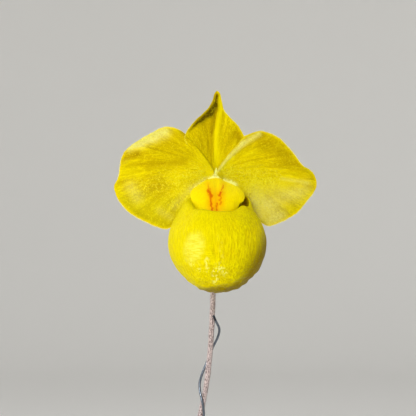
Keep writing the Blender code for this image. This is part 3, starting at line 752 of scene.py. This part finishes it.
def sheet(front, back, loop=False, tips=()):
    """The points and faces of a solid sheet: its front, its back, and the strips that join them."""
    rows, across = front.shape[:2]
    count = rows * across
    points = np.concatenate([front.reshape(-1, 3), back.reshape(-1, 3)])
    faces = grid_faces(rows, across, loop) + grid_faces(rows, across, loop, count)
    number = np.arange(count).reshape(rows, across)
    if loop:
        edge = np.append(number[0], number[0, 0])
        for side, tip in enumerate(tips):
            points = np.vstack([points, tip])
            last = np.append(number[-1], number[-1, 0]) + side * count
            faces += [[int(a), int(b), len(points) - 1] for a, b in zip(last, last[1:])]
    else:
        edge = np.concatenate([number[0], number[1:, -1], number[-1, -2::-1], number[-2::-1, 0]])
    faces += [[int(a), int(b), int(b) + count, int(a) + count] for a, b in zip(edge, edge[1:])]
    return points, faces


def twice(grid):
    """One mark for the front and the back of a sheet."""
    flat = grid.reshape(-1, *grid.shape[2:])
    return np.concatenate([flat, flat])


def scatter(grid, ways, chance, count, seed):
    """Places on a grid picked by chance and by area, and the way that the grid faces there."""
    dice = np.random.default_rng(seed)
    across, along = grid[:-1, 1:] - grid[:-1, :-1], grid[1:, :-1] - grid[:-1, :-1]
    weight = np.linalg.norm(np.cross(across, along), axis=-1) * chance[:-1, :-1]
    picked = dice.choice(weight.size, count, p=weight.ravel() / weight.sum())
    row, column = np.unravel_index(picked, weight.shape)
    share = dice.random((count, 2))
    at = grid[row, column] + across[row, column] * share[:, :1] + along[row, column] * share[:, 1:]
    return at, ways[row, column]


def hairs(name, roots, ways, out, shape, material, seed, offset=BLOOM_AT):
    """Fine tapered hairs, each three-sided with a bend half way up, shaded like the skin under them."""
    length, width, lean, droop = shape
    dice = np.random.default_rng(seed)
    count = len(roots)
    away = unit(out + dice.normal(0, lean, (count, 3)))
    long = length * dice.uniform(0.55, 1.25, (count, 1))
    bent = dice.normal(0, 0.25, (count, 3)) + np.array((0, 0, -droop))
    bend = roots + away * long * 0.55 + bent * long * 0.12
    point = roots + away * long + bent * long * 0.5
    side = unit(np.cross(away, dice.normal(0, 1, (count, 3))))
    other = np.cross(away, side)
    turns = np.radians((0, 120, 240))
    ring = np.stack([side * math.cos(t) + other * math.sin(t) for t in turns], axis=1) * width / 2
    low = (roots - away * 0.08)[:, None] + ring
    high = bend[:, None] + ring * 0.7
    points = np.concatenate([low, high, point[:, None]], axis=1).reshape(-1, 3)
    pattern = [(0, 1, 4, 3), (1, 2, 5, 4), (2, 0, 3, 5), (3, 4, 6), (4, 5, 6), (5, 3, 6), (0, 2, 1)]
    faces = [[7 * k + corner for corner in face] for k in range(count) for face in pattern]
    piece(name, points, faces, material, offset=offset, normals=np.repeat(ways, 7, axis=0))


def skin_hairs(name, grid, ways, chance, count, shape, material, seed, offset=BLOOM_AT):
    """Hairs that stand straight out of a skin."""
    roots, way = scatter(grid, ways, chance, count, seed)
    hairs(name, roots, way, way, shape, material, seed + 1, offset)


def fringe(name, grid, ways, keep, count, shape, material, seed):
    """Hairs that stand out of the last row of a grid."""
    dice = np.random.default_rng(seed)
    column = dice.choice(np.flatnonzero(keep), count)
    share = dice.random((count, 1))
    nearby = np.minimum(column + 1, grid.shape[1] - 1)
    roots = grid[-1, column] * (1 - share) + grid[-1, nearby] * share
    out = unit(grid[-1, column] - grid[-4, column])
    hairs(name, roots, ways[-1, column], out, shape, material, seed + 1)


def blade(foot, margin, rays, steps, seed):
    """A petal's grid from the front: x, z, the shares out and across, the way to the rim, the rim's run."""
    turns = np.radians(np.linspace(*foot, rays))
    outward = np.column_stack([np.cos(turns), np.sin(turns)])
    start = HEART_RADIUS * outward
    end = smooth_line(margin, rays)
    reach = np.linalg.norm(end - start, axis=1)[:, None]
    run = run_along(end)
    notch = 0.5 + 0.3 * lumps(run / 1.3, seed) + 0.2 * lumps(run / 4, seed + 3)
    end = end + (start - end) / reach * (RIM_JAG * notch)[:, None]
    middle = start + RAY_LEAD * reach * outward
    part = 1 - (1 - np.linspace(0, 1, steps)) ** 1.35
    share = part[:, None, None]
    flat = (1 - share) ** 2 * start + 2 * share * (1 - share) * middle + share**2 * end
    out, across = np.meshgrid(part, np.linspace(0, 1, rays), indexing="ij")
    return flat[..., 0], flat[..., 1], out, across, (1 - out) * reach[:, 0], run


def petal_lie(ridges, outward):
    """How far back a petal lies at x and z: it is swept back to its tip, with its main ridges."""

    def lie(x, z):
        far = (np.hypot(x, z) / PETAL_REACH) ** 2
        angle = np.degrees(np.arctan2(z, outward * x))
        forward = sum(height * bell(angle, middle, width) for middle, width, height in ridges)
        return PETAL_SWEEP * far * bell(angle, 0, 50) - forward * far

    return lie


def dorsal_lie(x, z):
    """The hood arches forward, and folds along a valley that runs up it."""
    up = (z - FOOT_RADIUS) / (DORSAL_TIP_Z - FOOT_RADIUS)
    aside = x - table(z, DORSAL_VALLEY)
    left = 1.6 * ease(-aside / 8) + 0.12 * np.maximum(-aside, 0)
    right = 1.1 * ease(aside / 2) + 0.3 * ease((aside - 3) / 6)
    rise = np.where(aside < 0, left, right) * ease(up / 0.15)
    trough = 0.24 * ease((up - 0.5) / 0.3) * np.abs(aside)
    return 2.4 + 0.6 * ease(up / 0.5) + 7.5 * up - 13.5 * up * up - trough - rise


def synsepal_lie(x, z):
    return 2.2 + 5.6 * ease((-FOOT_RADIUS - z) / 8) + 0.004 * x * x


def crepe(out, across, pleats, seed):
    """Soft pleats that run out along a petal and fade at its foot."""
    wide = lumps(across * pleats, out * 1.6, seed=seed)
    fine = lumps(across * pleats * 2.3, out * 3, seed=seed + 5)
    return 0.4 * ease(out / 0.35) * (0.6 * wide + 0.5 * fine)


def make_petal(name, look, foot, margin, lie, grid, curl, seed, folds=(), patches=None, tuck=0,
               edging=FLAT_EDGE):
    """One petal or sepal: folds stand forward, its margin curls back, tuck turns its last side back, edging
    curls its very edge forward, and patches are its strokes of colour."""
    rays, steps, pleats = grid
    x, z, out, across, edge, run = blade(foot, margin, rays, steps, seed)
    heart = 1 - ease((np.hypot(x, z) - HEART_RADIUS) / (1.3 * FOOT_RADIUS))
    depth = lie(x, z) - strokes(x, z, folds) + crepe(out, across, pleats, seed) - 1.1 * heart
    depth += tuck * ease((across - 0.93) / 0.07) ** 2 * ease(out / 0.3)
    depth -= table(across, edging) * ease((1.5 - edge) / 1.5)
    depth += table(across, curl) * ease((4 - edge) / 4) ** 1.6
    ruffle = 0.45 * lumps(run / 5, 0, seed=seed + 8) + 0.2 * lumps(run / 2, 0, seed=seed + 9)
    depth += ruffle * ease((7 - edge) / 7) * ease(out / 0.4)
    middle = np.stack([x, depth, z], axis=-1)
    ways = facing(middle)
    ways *= -np.sign(ways[..., 1:2])
    half = ways * (0.08 + 0.25 * ease(edge / 5))[..., None]
    points, faces = sheet(middle + half, middle - half)
    marks = {
        "leaf": twice(np.stack([across, out, 0 * out], axis=-1)),
        "rim": twice(ease((1.1 - edge) / 1.1)),
        # Painted light towards the heart, where the petals lie in shade.
        "foot": twice(1 - ease(out / 0.85)),
        "lime": twice(ease((-4 - z) / 9) * ease((out - 0.35) / 0.4) * np.where(x < 0, 1, 0.4)),
        "back": np.repeat((0, 1), out.size),
    }
    # The patches of painted sheen, highlights, shade, shadow and light, and where the specks lie.
    for mark in PATCHES:
        marks[mark] = twice(np.clip(strokes(x, z, (patches or {}).get(mark, ())), 0, 1))
    piece(name, points, faces, look, marks, (name,))
    return middle + half, ways, x, z, out


def lip_wall(around, down):
    """Points of the pouch: around is 0 at the front, down goes from 0 at the mouth to 1 at the bottom."""
    around, down = np.broadcast_arrays(around, down)
    side = np.abs(around)
    front, back = LIP_MOUTH
    mouth = front + (back - front) * ease(side / 160) + LIP_CLAW_DROP * ease((side - 100) / 60)
    polar = mouth + (180 - mouth) * down
    claw = LIP_CLAW_RISE * ease((side - 85) / 95) ** 1.5
    taller = 1 + claw * (1 - ease((polar - mouth) / 55))
    deeper = 1 + 0.67 * claw * (1 - ease((polar - mouth) / 30))
    flat = 1 - 0.04 * bell(around, -90, 45) * bell(polar, 132, 28)
    lift = sum(height * bell(around, middle, width) for middle, width, height in RIM_LIFTS)
    lift = lift * (1 - ease(down / 0.14))
    turn, tilt = np.radians(around), np.radians(polar)
    way = np.stack([np.sin(tilt) * np.sin(turn), -np.sin(tilt) * np.cos(turn), np.cos(tilt)], axis=-1)
    swell = np.stack([taller, deeper, taller], axis=-1)
    middle, width, wide = RIM_SPREAD
    spread = wide * bell(around, middle, width) * (1 - ease(down / 0.08))
    moved = np.stack([spread, 0 * lift, lift], axis=-1)
    return LIP_CENTRE + way * LIP_RADII * swell * flat[..., None] + moved


def lip_roll(around, rows):
    """The mouth's edge rolled inward, from its hidden end to the rim."""
    rim = lip_wall(around, 0)
    rising = unit(rim - lip_wall(around, 0.01))
    outward = unit(np.cross(lip_wall(around + 1, 0) - lip_wall(around - 1, 0), rising))
    side = np.abs(around)
    rolled = 1 - ease((side - 80) / 60)
    length = 0.4 + LIP_ROLL_LENGTH * rolled * (1 - 0.5 * ease((side - 20) / 40))
    middle, width, share = RIM_UNROLLED
    length = (length + LIP_CLAW_EDGE * (1 - rolled)) * (1 - share * bell(around, middle, width))
    radius = (LIP_ROLL_RADIUS + 14 * (1 - rolled))[:, None]
    turn = length[:, None] * np.arange(rows, 0, -1)[:, None, None] / rows / radius
    return rim + rising * radius * np.sin(turn) - outward * radius * (1 - np.cos(turn))


def make_pouch(look):
    """The swollen lip, its mouth's edge rolled in, with upright wrinkles that turn to dimples low down."""
    spokes, rows, roll_rows = POUCH_GRID
    around = np.linspace(-180, 180, spokes, endpoint=False)
    down = (np.arange(rows) / rows)[:, None]
    outer = np.concatenate([lip_roll(around, roll_rows), lip_wall(around, down)])
    ways = facing(outer, loop=True)
    ways *= np.sign(np.sum(ways * (outer - LIP_CENTRE), axis=-1).mean())
    x, y, z = np.moveaxis(outer, -1, 0)
    low = ease((-33 - z) / 12)
    bend = 1.6 * lumps(x / 5, z / 4, seed=6)
    dimples = layered(outer, DIMPLES)
    seam = bell(x, -0.6 + 0.6 * bend, 0.9) * ease((-22 - z) / 8)
    on_wall = np.concatenate([np.zeros((roll_rows, 1)), ease(down / 0.08)])
    wrinkles = layered(outer + bend[..., None] * (1, 0, 0), WRINKLES)
    wrinkles = wrinkles * (0.55 + 0.45 * ease((x + 4) / 8)) * (1 - 0.45 * low)
    face_on = np.clip(-ways[..., 1], 0, 1) ** 4
    dip = 0.3 * wrinkles + 0.54 * low * (0.3 + dimples) + 0.2 * (0.4 - layered(outer, SWELLS)) + 0.16 * seam
    outer = outer - ways * (on_wall * (dip + 0.05 + 0.45 * face_on))[..., None]
    thick = np.concatenate([np.linspace(0.3, 0.7, roll_rows), np.full(rows, 0.7)])[:, None, None]
    bottom = lip_wall(0, 1)
    tips = (bottom + (0, 0, 0.35), bottom + (0, 0, 1.05))
    points, faces = sheet(outer, outer - ways * thick, loop=True, tips=tips)
    in_front = ease(-y / 6)
    smooth = 1 - ease((0.9 * x - 0.8 * (z + 26) + 2) / 12)
    # Painted shade in the creases of the wrinkles, dimples and seam.
    groove = on_wall * np.clip(0.7 * wrinkles + 1.1 * low * dimples + 0.25 * seam, 0, 1)
    shade = 1.15 * ease((0.9 * x - 0.5 * (z + 33) - 11.5) / 10) + 0.9 * ease((-47.2 - z + 0.1 * x) / 4)
    # Painted light on the wall inside the mouth beside the shield.
    hollow = np.clip(strokes(x, z, HOLLOW_PAINTED_LIGHT) * ease((y + 19) / 3), 0, 1)
    # The painted highlight patch, the level wrinkles, the painted gleams, the painted shade in the creases,
    # the smooth part, and the painted shade to the right and at the bottom.
    marks = {
        "pale": 0.72 * np.exp(-(oval(x, z, PAINTED_HIGHLIGHT_PATCH) ** 3)) * in_front,
        "level": np.exp(-oval(x, z, LEVEL_PATCH)),
        "painted_gleam": strokes(x, z, PAINTED_GLEAMS) * in_front,
        "groove": groove * (1 - 0.7 * smooth),
        "smooth": smooth,
        "shade": shade,
    }
    marks = {name: np.append(twice(np.clip(values, 0, 1)), (0, 0)) for name, values in marks.items()}
    marks["deep"] = np.append(twice(ease((-38 - z) / 6)), (1, 1))
    marks["hollow"] = np.concatenate([np.zeros(x.size), hollow.ravel(), (0, 0)])
    marks["back"] = np.append(np.repeat((0, 1), x.size), (0, 1))
    piece("lip", points, faces, look, marks, ("lip",))


def make_shield(look):
    """The staminode, with a rounded edge, two lobes and a shallow groove down its middle."""
    rows, across = SHIELD_GRID
    edge_x, edge_z = smooth_line((*SHIELD_EDGE, SHIELD_EDGE[0]), across + 1)[:-1].T
    out = (1 - np.linspace(0, 0.98, rows) ** 1.25)[:, None]
    x = SHIELD_MIDDLE_X + (edge_x - SHIELD_MIDDLE_X) * out
    z = SHIELD_MIDDLE_Z + (edge_z - SHIELD_MIDDLE_Z) * out
    y = SHIELD_TOP_Y + SHIELD_LEAN * (z - SHIELD_TOP_Z) - SHIELD_DOME * (1 - out**2.4)
    groove = 0.35 * bell(x, SHIELD_MIDDLE_X - 0.3, 1) * ease((1 - out) / 0.3)
    pinch = 0.3 * lumps(x / 2.6, z / 6, seed=31) * ease((1 - out) / 0.2)
    half = SHIELD_THICKNESS / 2 * np.sqrt(np.clip(1 - out**9, 0, 1))
    front = np.stack([x, y - half + groove + pinch, z], axis=-1)
    back = np.stack([x, y + half * 0.9, z], axis=-1)
    ways = facing(front, loop=True)
    ways *= -np.sign(ways[..., 1:2])
    points, faces = sheet(front, back, loop=True, tips=(front[-1].mean(axis=0), back[-1].mean(axis=0)))
    marks = {"streak": np.zeros(x.shape), "halo": np.zeros(x.shape)}
    sway = 0.3 * lumps(x / 1.1, z / 1.1, seed=33)
    ragged = 1.1 + 0.55 * lumps(x / 0.7, z / 0.8, seed=32)
    for line, width, amount in SHIELD_STREAKS:
        away = near_line(x + sway, z, line)
        for mark, wide in (("streak", width * ragged), ("halo", width + 1.05)):
            marks[mark] = np.maximum(marks[mark], amount * bell(away, 0, wide))
    marks["wash"] = bell(x, 0.2, 3.2) * (0.15 + 0.85 * ease((-3 - z) / 9))
    marks = {name: np.append(twice(values), (0.3, 0.3)) for name, values in marks.items()}
    piece("staminode", points, faces, look, marks, ("staminode",))
    return front, ways


def tube_grid(path, radii, sides):
    """Rings of points round a path, each turned no further than the path itself turns, and their ways out."""
    path = np.array(path, float)
    ahead = unit(np.gradient(path, axis=0))
    side = np.array(Vector(ahead[0]).orthogonal().normalized())
    turns = 2 * np.pi * np.arange(sides) / sides
    rings, ways = [], []
    for point, forward, radius in zip(path, ahead, radii):
        side = unit(side - forward * side.dot(forward))
        way = np.outer(np.cos(turns), side) + np.outer(np.sin(turns), np.cross(forward, side))
        ways.append(way)
        rings.append(point + way * np.reshape(radius, (-1, 1)))
    return np.array(rings), np.array(ways)


def make_ball(name, at, radii, look, lump, seed):
    """A small rounded body of the column, uneven by lump."""
    rows, across = BALL_GRID
    tilt = np.linspace(0.02, math.pi - 0.02, rows)[:, None]
    turn = 2 * np.pi * np.arange(across)[None, :] / across
    x, y, z = np.sin(tilt) * np.cos(turn), np.sin(tilt) * np.sin(turn), np.cos(tilt) + 0 * turn
    swell = 1 - lump * (0.5 + 0.5 * lumps(2.2 * x, 2.2 * y, 2.2 * z, seed))
    body(name, at + np.stack([x, y, z], axis=-1) * radii * swell[..., None], look)


def make_column(look, pollen):
    """The column behind the shield, with its two pollen masses and its stigma."""
    rings, sides = COLUMN_GRID
    line = smooth_line(COLUMN_LINE, rings)
    end = ease((np.arange(rings) - rings + 8) / 8)
    radii = line[:, 3] * np.sqrt(np.clip(1 - 0.92 * end**2, 0, 1)) - 0.05
    path = line[:, :3] + np.array((0, 0.45, -0.25)) * ease(np.linspace(0, 1, rings))[:, None]
    grid, _ = tube_grid(path, radii, sides)
    body("column", grid, look, None, ("column",))
    x, y, z, _ = COLUMN_LINE[3]
    for side, label in ((-1, "anther_left"), (1, "anther_right")):
        make_ball(label, (x + side * ANTHER_OUT, y + 1.1, z), ANTHER_RADII, pollen, 0.12, 41)
    make_ball("stigma", (x, y + 0.6, z - 1.9), STIGMA_RADII, look, 0.1, 42)


def make_ovary(look):
    """The ribbed ovary, bent from the stem's top to the bloom, and the round receptacle at its end."""
    start_x, start_y, start_z = OVARY_START
    turn = np.radians(np.linspace(0, 90, 90))
    path = np.column_stack([
        start_x * np.cos(turn),
        OVARY_END_Y + (start_y - OVARY_END_Y) * np.cos(turn),
        start_z * (1 - np.sin(turn)),
    ])
    along = np.linspace(0, 1, len(path))
    around = 2 * np.pi * np.arange(OVARY_SIDES) / OVARY_SIDES
    furrow = 0.5 - 0.5 * np.cos(OVARY_RIBS * (around[None, :] + 0.35 * along[:, None]))
    fading = 0.13 * np.sin(np.pi * np.clip(along, 0.05, 0.95))[:, None]
    radii = table(along, OVARY_RADII)[:, None] * (1.06 - fading * furrow)
    grid, ways = tube_grid(path, radii, OVARY_SIDES)
    marks = {"rib": furrow.ravel(), "bloom_end": np.repeat(ease((along - 0.75) / 0.25), OVARY_SIDES)}
    body("ovary", grid, look, marks, ("ovary",))
    places, widths = zip(*RECEPTACLE)
    end, _ = tube_grid([(0, y, 0) for y in places], widths, RECEPTACLE_SIDES)
    flat = np.zeros(end[..., 0].size)
    body("receptacle", end, look, {"rib": flat, "bloom_end": flat + 1})
    return grid, ways


def make_bract(look):
    """A pointed leaf rolled round the back of the ovary's foot."""
    foot = np.array(OVARY_START)
    low_wrap, tip_wrap = BRACT_WRAP
    up = np.linspace(0, 1, 70)
    across = np.linspace(-1, 1, 60)
    turns = np.radians(tip_wrap + (low_wrap - tip_wrap) * (1 - up) ** 0.75)[:, None] * across
    way = np.stack([np.sin(turns), np.cos(turns), 0 * turns], axis=-1)
    keel = 0.18 * bell(across, 0, 0.09) * ease(up / 0.3)[:, None]
    wavy = 0.12 * lumps(across * 4, up[:, None] * 5, seed=51)
    radius = BRACT_RADIUS + BRACT_SPREAD * up[:, None] + keel + wavy
    raised = foot + np.stack([0 * up, BRACT_LEAN * up * up, 0.4 + BRACT_LENGTH * up], axis=-1)
    rows = raised[:, None, :] + way * radius[..., None]
    sheath = foot + way[0] * BRACT_FOOT_RADIUS + np.array((0, 0, -2))
    share = np.linspace(0, 1, 12, endpoint=False)[:, None, None]
    grid = np.concatenate([sheath + (rows[0] - sheath) * ease(share), rows])
    ways = facing(grid)
    out, side = np.meshgrid(np.linspace(0, 1, len(grid)), across, indexing="ij")
    edge = 1 - np.abs(side)
    half = (BRACT_MARGIN + (BRACT_THICKNESS - BRACT_MARGIN) * ease(edge / 0.2))[..., None] / 2
    points, faces = sheet(grid + ways * half, grid - ways * half)
    marks = {"leaf": twice(np.stack([side, out, 0 * out], axis=-1)), "rim": twice(ease((0.08 - edge) / 0.08))}
    piece("bract", points, faces, look, marks, ("bract",))
    outward = ways * np.sign(ways[-1, 30, 1])
    return grid + outward * half, outward


def stem_points(spacing):
    """The stem's centre line from its foot on the floor of the vase to the foot of the ovary."""
    rim = STEM_ROUTE[0]
    foot = (rim[0] - STEM_LEAN * (rim[2] - STEM_FOOT_Z), rim[1], STEM_FOOT_Z)
    straight = np.linspace(foot, rim, 70)[:-1]
    curved = smooth_line(STEM_ROUTE, round((STEM_ROUTE[-1][2] - rim[2]) / spacing))
    return np.vstack([straight, curved])


def make_stem(look):
    line = stem_points(0.6)
    height = line[:, 2:]
    around = 2 * np.pi * np.arange(STEM_SIDES) / STEM_SIDES
    ridges = 0.05 * np.cos(7 * around + 0.03 * height)
    knots = 0.09 * lumps(3 * around / np.pi, height / 2.2, seed=61) + 0.06 * lumps(0, height / 7, seed=62)
    grid, ways = tube_grid(line, STEM_RADIUS - 0.02 + ridges + knots, STEM_SIDES)
    marks = {"wet": np.repeat(1 - ease((line[:, 2] - 68) / 8), STEM_SIDES)}
    body("scape", grid, look, marks, ("scape",), VASE_AT)
    return grid, ways


def make_wire(look):
    """A wire wound loosely round the stem, with a cut tip, that runs straight down into the vase."""
    stem = stem_points(1)
    turns = []
    for height, degrees, away in WIRE_TURNS:
        x, y = (np.interp(height, stem[:, 2], stem[:, axis]) for axis in (0, 1))
        angle = math.radians(degrees)
        turns.append((x + away * math.cos(angle), y + away * math.sin(angle), height))
    wound, straight = WIRE_RINGS
    path = np.vstack([smooth_line(turns, wound), np.linspace(turns[-1], WIRE_FOOT, straight)[1:]])
    count = len(path)
    radii = WIRE_RADIUS * (1 + 0.03 * lumps(np.arange(count) / 9, 0, seed=71))
    radii[0] *= 0.82
    grid, _ = tube_grid(path, radii, WIRE_SIDES)
    marks = {"cut": np.repeat(np.where(np.arange(count) < 10, 0.85, 0), WIRE_SIDES)}
    body("support_wire", grid, look, marks, ("support_wire",), VASE_AT)


def make_vase(look):
    """The bud vase, turned from its profile: inside, over the rim, and down to an unglazed foot."""
    inside, outside = VASE_RINGS
    inner = smooth_line(VASE_INSIDE, inside)
    profile = np.vstack([VASE_FLOOR, inner, smooth_line(VASE_OUTSIDE, outside)[1:], VASE_FOOT])
    row = np.arange(len(profile))[:, None]
    turns = 2 * np.pi * np.arange(VASE_SIDES) / VASE_SIDES
    cos, sin = np.cos(turns), np.sin(turns)
    radius, height = profile[:, :1], profile[:, 1:]
    worn = 0.12 * lumps(2 * cos, 2 * sin, height / 14, 81)
    throwing = 0.09 * lumps(0, 0, height / 2.6 + turns / 9, 82)
    thrown = (row > len(inner) + 6) & (height > 1)
    radius = radius + np.where(thrown, worn + throwing - 0.15, 0)
    tall = np.broadcast_to(height, radius.shape)
    wander = 0.8 * lumps(1.6 * cos, 1.6 * sin, 0, 83)
    marks = {
        "thin": np.clip(bell(tall, 110.3, 1.6) + 0.35 * bell(tall, 5 + wander, 1.4), 0, 1).ravel(),
        "clay": (ease((3 + wander - tall) / 0.5) * (row > len(inner))).ravel(),
    }
    grid = np.stack([radius * cos, radius * sin, tall], axis=-1)
    body("vase", grid, look, marks, ("vase",), VASE_AT)


def make_white_hairs(shield, ways, look):
    """The hairs that stand up where the petals meet, and the tufts along the shield's upper edge."""
    dice = np.random.default_rng(95)
    count = 200
    up = dice.random((count, 1)) ** 1.3
    apart = dice.normal(0, 1, (count, 3)) * (0.36, 0.2, 0.2) * (1.1 - up)
    roots = np.array((0.1, -2, -0.4)) + up * (0.45, 1.6, 3.6) + apart
    grow = np.column_stack([0.9 * (roots[:, 0] - 0.3), np.full(count, -0.45), np.ones(count)])
    hairs("hairs_heart", roots, np.tile((0.0, -1.0, 0.0), (count, 1)), grow, HEART_HAIRS, look, 96)

    tufts = strokes(shield[0, :, 0], shield[0, :, 2], SHIELD_TUFTS)
    chance = np.where(np.arange(len(shield))[:, None] < TUFT_ROWS, tufts, 0)
    roots, way = scatter(shield, ways, chance**1.6, 420, 97)
    away = unit((roots - (SHIELD_MIDDLE_X, 0, SHIELD_MIDDLE_Z)) * (1, 0, 1))
    long = 0.9 + 0.6 * bell(roots[:, :1], 0.2, 1.3) + 0.5 * bell(roots[:, :1], 7.4, 1.3)
    long = long * (0.3 + 1.4 * dice.random(long.shape) ** 1.5)
    shape = (long, *TUFT_HAIRS)
    hairs("hairs_staminode", roots, way * 0.3 + (0, -1, 0.2), way * 0.2 + away, shape, look, 98)


def make_bloom():
    """The bloom's parts, with the down and the fringes of its petals."""
    petal, sepal = petal_skin("petal_skin", 0.6), petal_skin("sepal_skin", 0.25)
    # The hairs' faint glow is painted light.
    white = hair_skin("white_hairs", (255, 254, 140), 0.26)
    fuzz = hair_skin("petal_fuzz", (252, 240, 90), 0.12)
    left = make_petal("petal_left", petal, LEFT_FOOT, LEFT_MARGIN, petal_lie(LEFT_RIDGES, -1),
                      PETAL_GRID, LEFT_CURL, 3, LEFT_FOLDS, LEFT_PATCHES, LEFT_TUCK)
    right = make_petal("petal_right", petal, RIGHT_FOOT, RIGHT_MARGIN, petal_lie(RIGHT_RIDGES, 1),
                       PETAL_GRID, RIGHT_CURL, 4, RIGHT_FOLDS, RIGHT_PATCHES, RIGHT_TUCK)
    dorsal = make_petal("dorsal_sepal", sepal, DORSAL_FOOT, DORSAL_MARGIN, dorsal_lie,
                        DORSAL_GRID, DORSAL_CURL, 5, patches=DORSAL_PATCHES, edging=DORSAL_EDGE)
    make_petal("synsepal", sepal, SYNSEPAL_FOOT, SYNSEPAL_MARGIN, synsepal_lie,
               SYNSEPAL_GRID, SYNSEPAL_CURL, 6)
    make_pouch(pouch_skin())
    shield, shield_ways = make_shield(shield_skin())
    make_column(
        moist_skin("column_skin", 0.35, 0.15, 1, 1.2, (214, 202, 96), (232, 224, 130), 0.42, 0.06),
        moist_skin("pollen_mass", 0.5, 0.1, 0.8, 2.4, (208, 150, 20), (228, 178, 40), 0.26, 0.05),
    )
    for side, made, patches, tufts, count, seed, reach, rim_seed in (
        ("left", left, LEFT_PATCHES, LEFT_TUFTS, 2000, 91, 44, 85),
        ("right", right, RIGHT_PATCHES, RIGHT_TUFTS, 2400, 93, 44.5, 87),
    ):
        front, ways, x, z, out = made
        # No down grows on the painted shadow beside the shield.
        bare = strokes(x, z, patches.get("dark", ()))
        near = 0.5 * bell(out, 0.1, 0.08) + strokes(x, z, patches["specks"]) * (1 - bare)
        near = near + strokes(x, z, tufts)
        skin_hairs("hairs_petal_" + side, front, ways, near, count, PETAL_DOWN, fuzz, seed)
        keep = np.abs(x[-1]) < reach
        fringe("fringe_petal_" + side, front, ways, keep, 2400, RIM_DOWN, fuzz, rim_seed)
    front, ways, _, z, _ = dorsal
    fringe("fringe_dorsal", front, ways, z[-1] < 37, 1500, HOOD_DOWN, fuzz, 89)
    make_white_hairs(shield, shield_ways, white)


def make_green_parts():
    """The ovary, the bract and the stem with their down, and the wire."""
    # Its faint glow is painted light.
    fuzz = hair_skin("stem_down", (230, 218, 216), 0.1)
    grid, ways = make_ovary(ovary_skin())
    skin_hairs("hairs_ovary", grid, ways, np.ones(grid.shape[:2]), 2600, OVARY_DOWN, fuzz, 101)
    grid, ways = make_bract(bract_skin())
    skin_hairs("hairs_bract", grid, ways, np.ones(grid.shape[:2]), 900, BRACT_DOWN, fuzz, 103)
    grid, ways = make_stem(stem_skin())
    chance = ease((grid[..., 2] - 100) / 12)
    skin_hairs("hairs_stem", grid, ways, chance, 9000, STEM_DOWN, fuzz, 105, VASE_AT)
    make_wire(wire_skin())


def aim(made, at, to):
    made.location = at
    made.rotation_mode = "QUATERNION"
    made.rotation_quaternion = (Vector(to) - Vector(at)).to_track_quat("-Z", "Y")


def make_studio():
    """A pale floor that sweeps up into a round wall, with soft light from the front and the left."""
    profile = [(FLOOR_RADIUS, 0)]
    for t in np.linspace(0.1, math.pi / 2, 12):
        profile.append((FLOOR_RADIUS + FLOOR_CURVE * math.sin(t), FLOOR_CURVE - FLOOR_CURVE * math.cos(t)))
    profile += FLOOR_WALL
    turns = np.linspace(0, 2 * math.pi, 97)[:-1]
    points = [(r * math.cos(t), r * math.sin(t), z) for r, z in profile for t in turns]
    faces = grid_faces(len(profile), len(turns), loop=True) + [list(range(len(turns)))[::-1]]
    mesh = bpy.data.meshes.new("floor")
    mesh.from_pydata(points, [], faces)
    mesh.shade_smooth()
    mesh.materials.append(paper_skin())
    floor = bpy.data.objects.new("floor", mesh)
    bpy.context.scene.collection.objects.link(floor)

    world = bpy.data.worlds.new("studio")
    world.use_nodes = True
    world.node_tree.nodes["Background"].inputs["Color"].default_value = (1, 1, 1, 1)
    world.node_tree.nodes["Background"].inputs["Strength"].default_value = AMBIENT
    bpy.context.scene.world = world
    heart = Vector(BLOOM_AT) * MM
    for name, way, far, wide, tall, fan, power in LAMPS:
        light = bpy.data.lights.new(name, "AREA")
        light.shape = "RECTANGLE"
        light.size = wide
        light.size_y = tall
        light.spread = fan
        light.energy = power
        lamp = bpy.data.objects.new(name, light)
        lamp.visible_camera = False
        bpy.context.scene.collection.objects.link(lamp)
        aim(lamp, heart + Vector(way).normalized() * far, heart)


def make_camera():
    data = bpy.data.cameras.new("camera")
    data.lens = CAMERA_LENS
    data.sensor_width = CAMERA_SENSOR
    data.clip_start, data.clip_end = CAMERA_REACH
    camera = bpy.data.objects.new("camera", data)
    bpy.context.scene.collection.objects.link(camera)
    at = Vector(CAMERA_AT) * MM
    aim(camera, at, at + Vector((0, 1, 0)))
    bpy.context.scene.camera = camera


make_camera()
make_studio()
make_bloom()
make_green_parts()
make_vase(glaze_skin())
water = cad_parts["water"]
water.material_slots[0].material = water_skin()

scene = bpy.context.scene
scene.view_settings.view_transform = "Standard"
scene.cycles.use_denoising = True
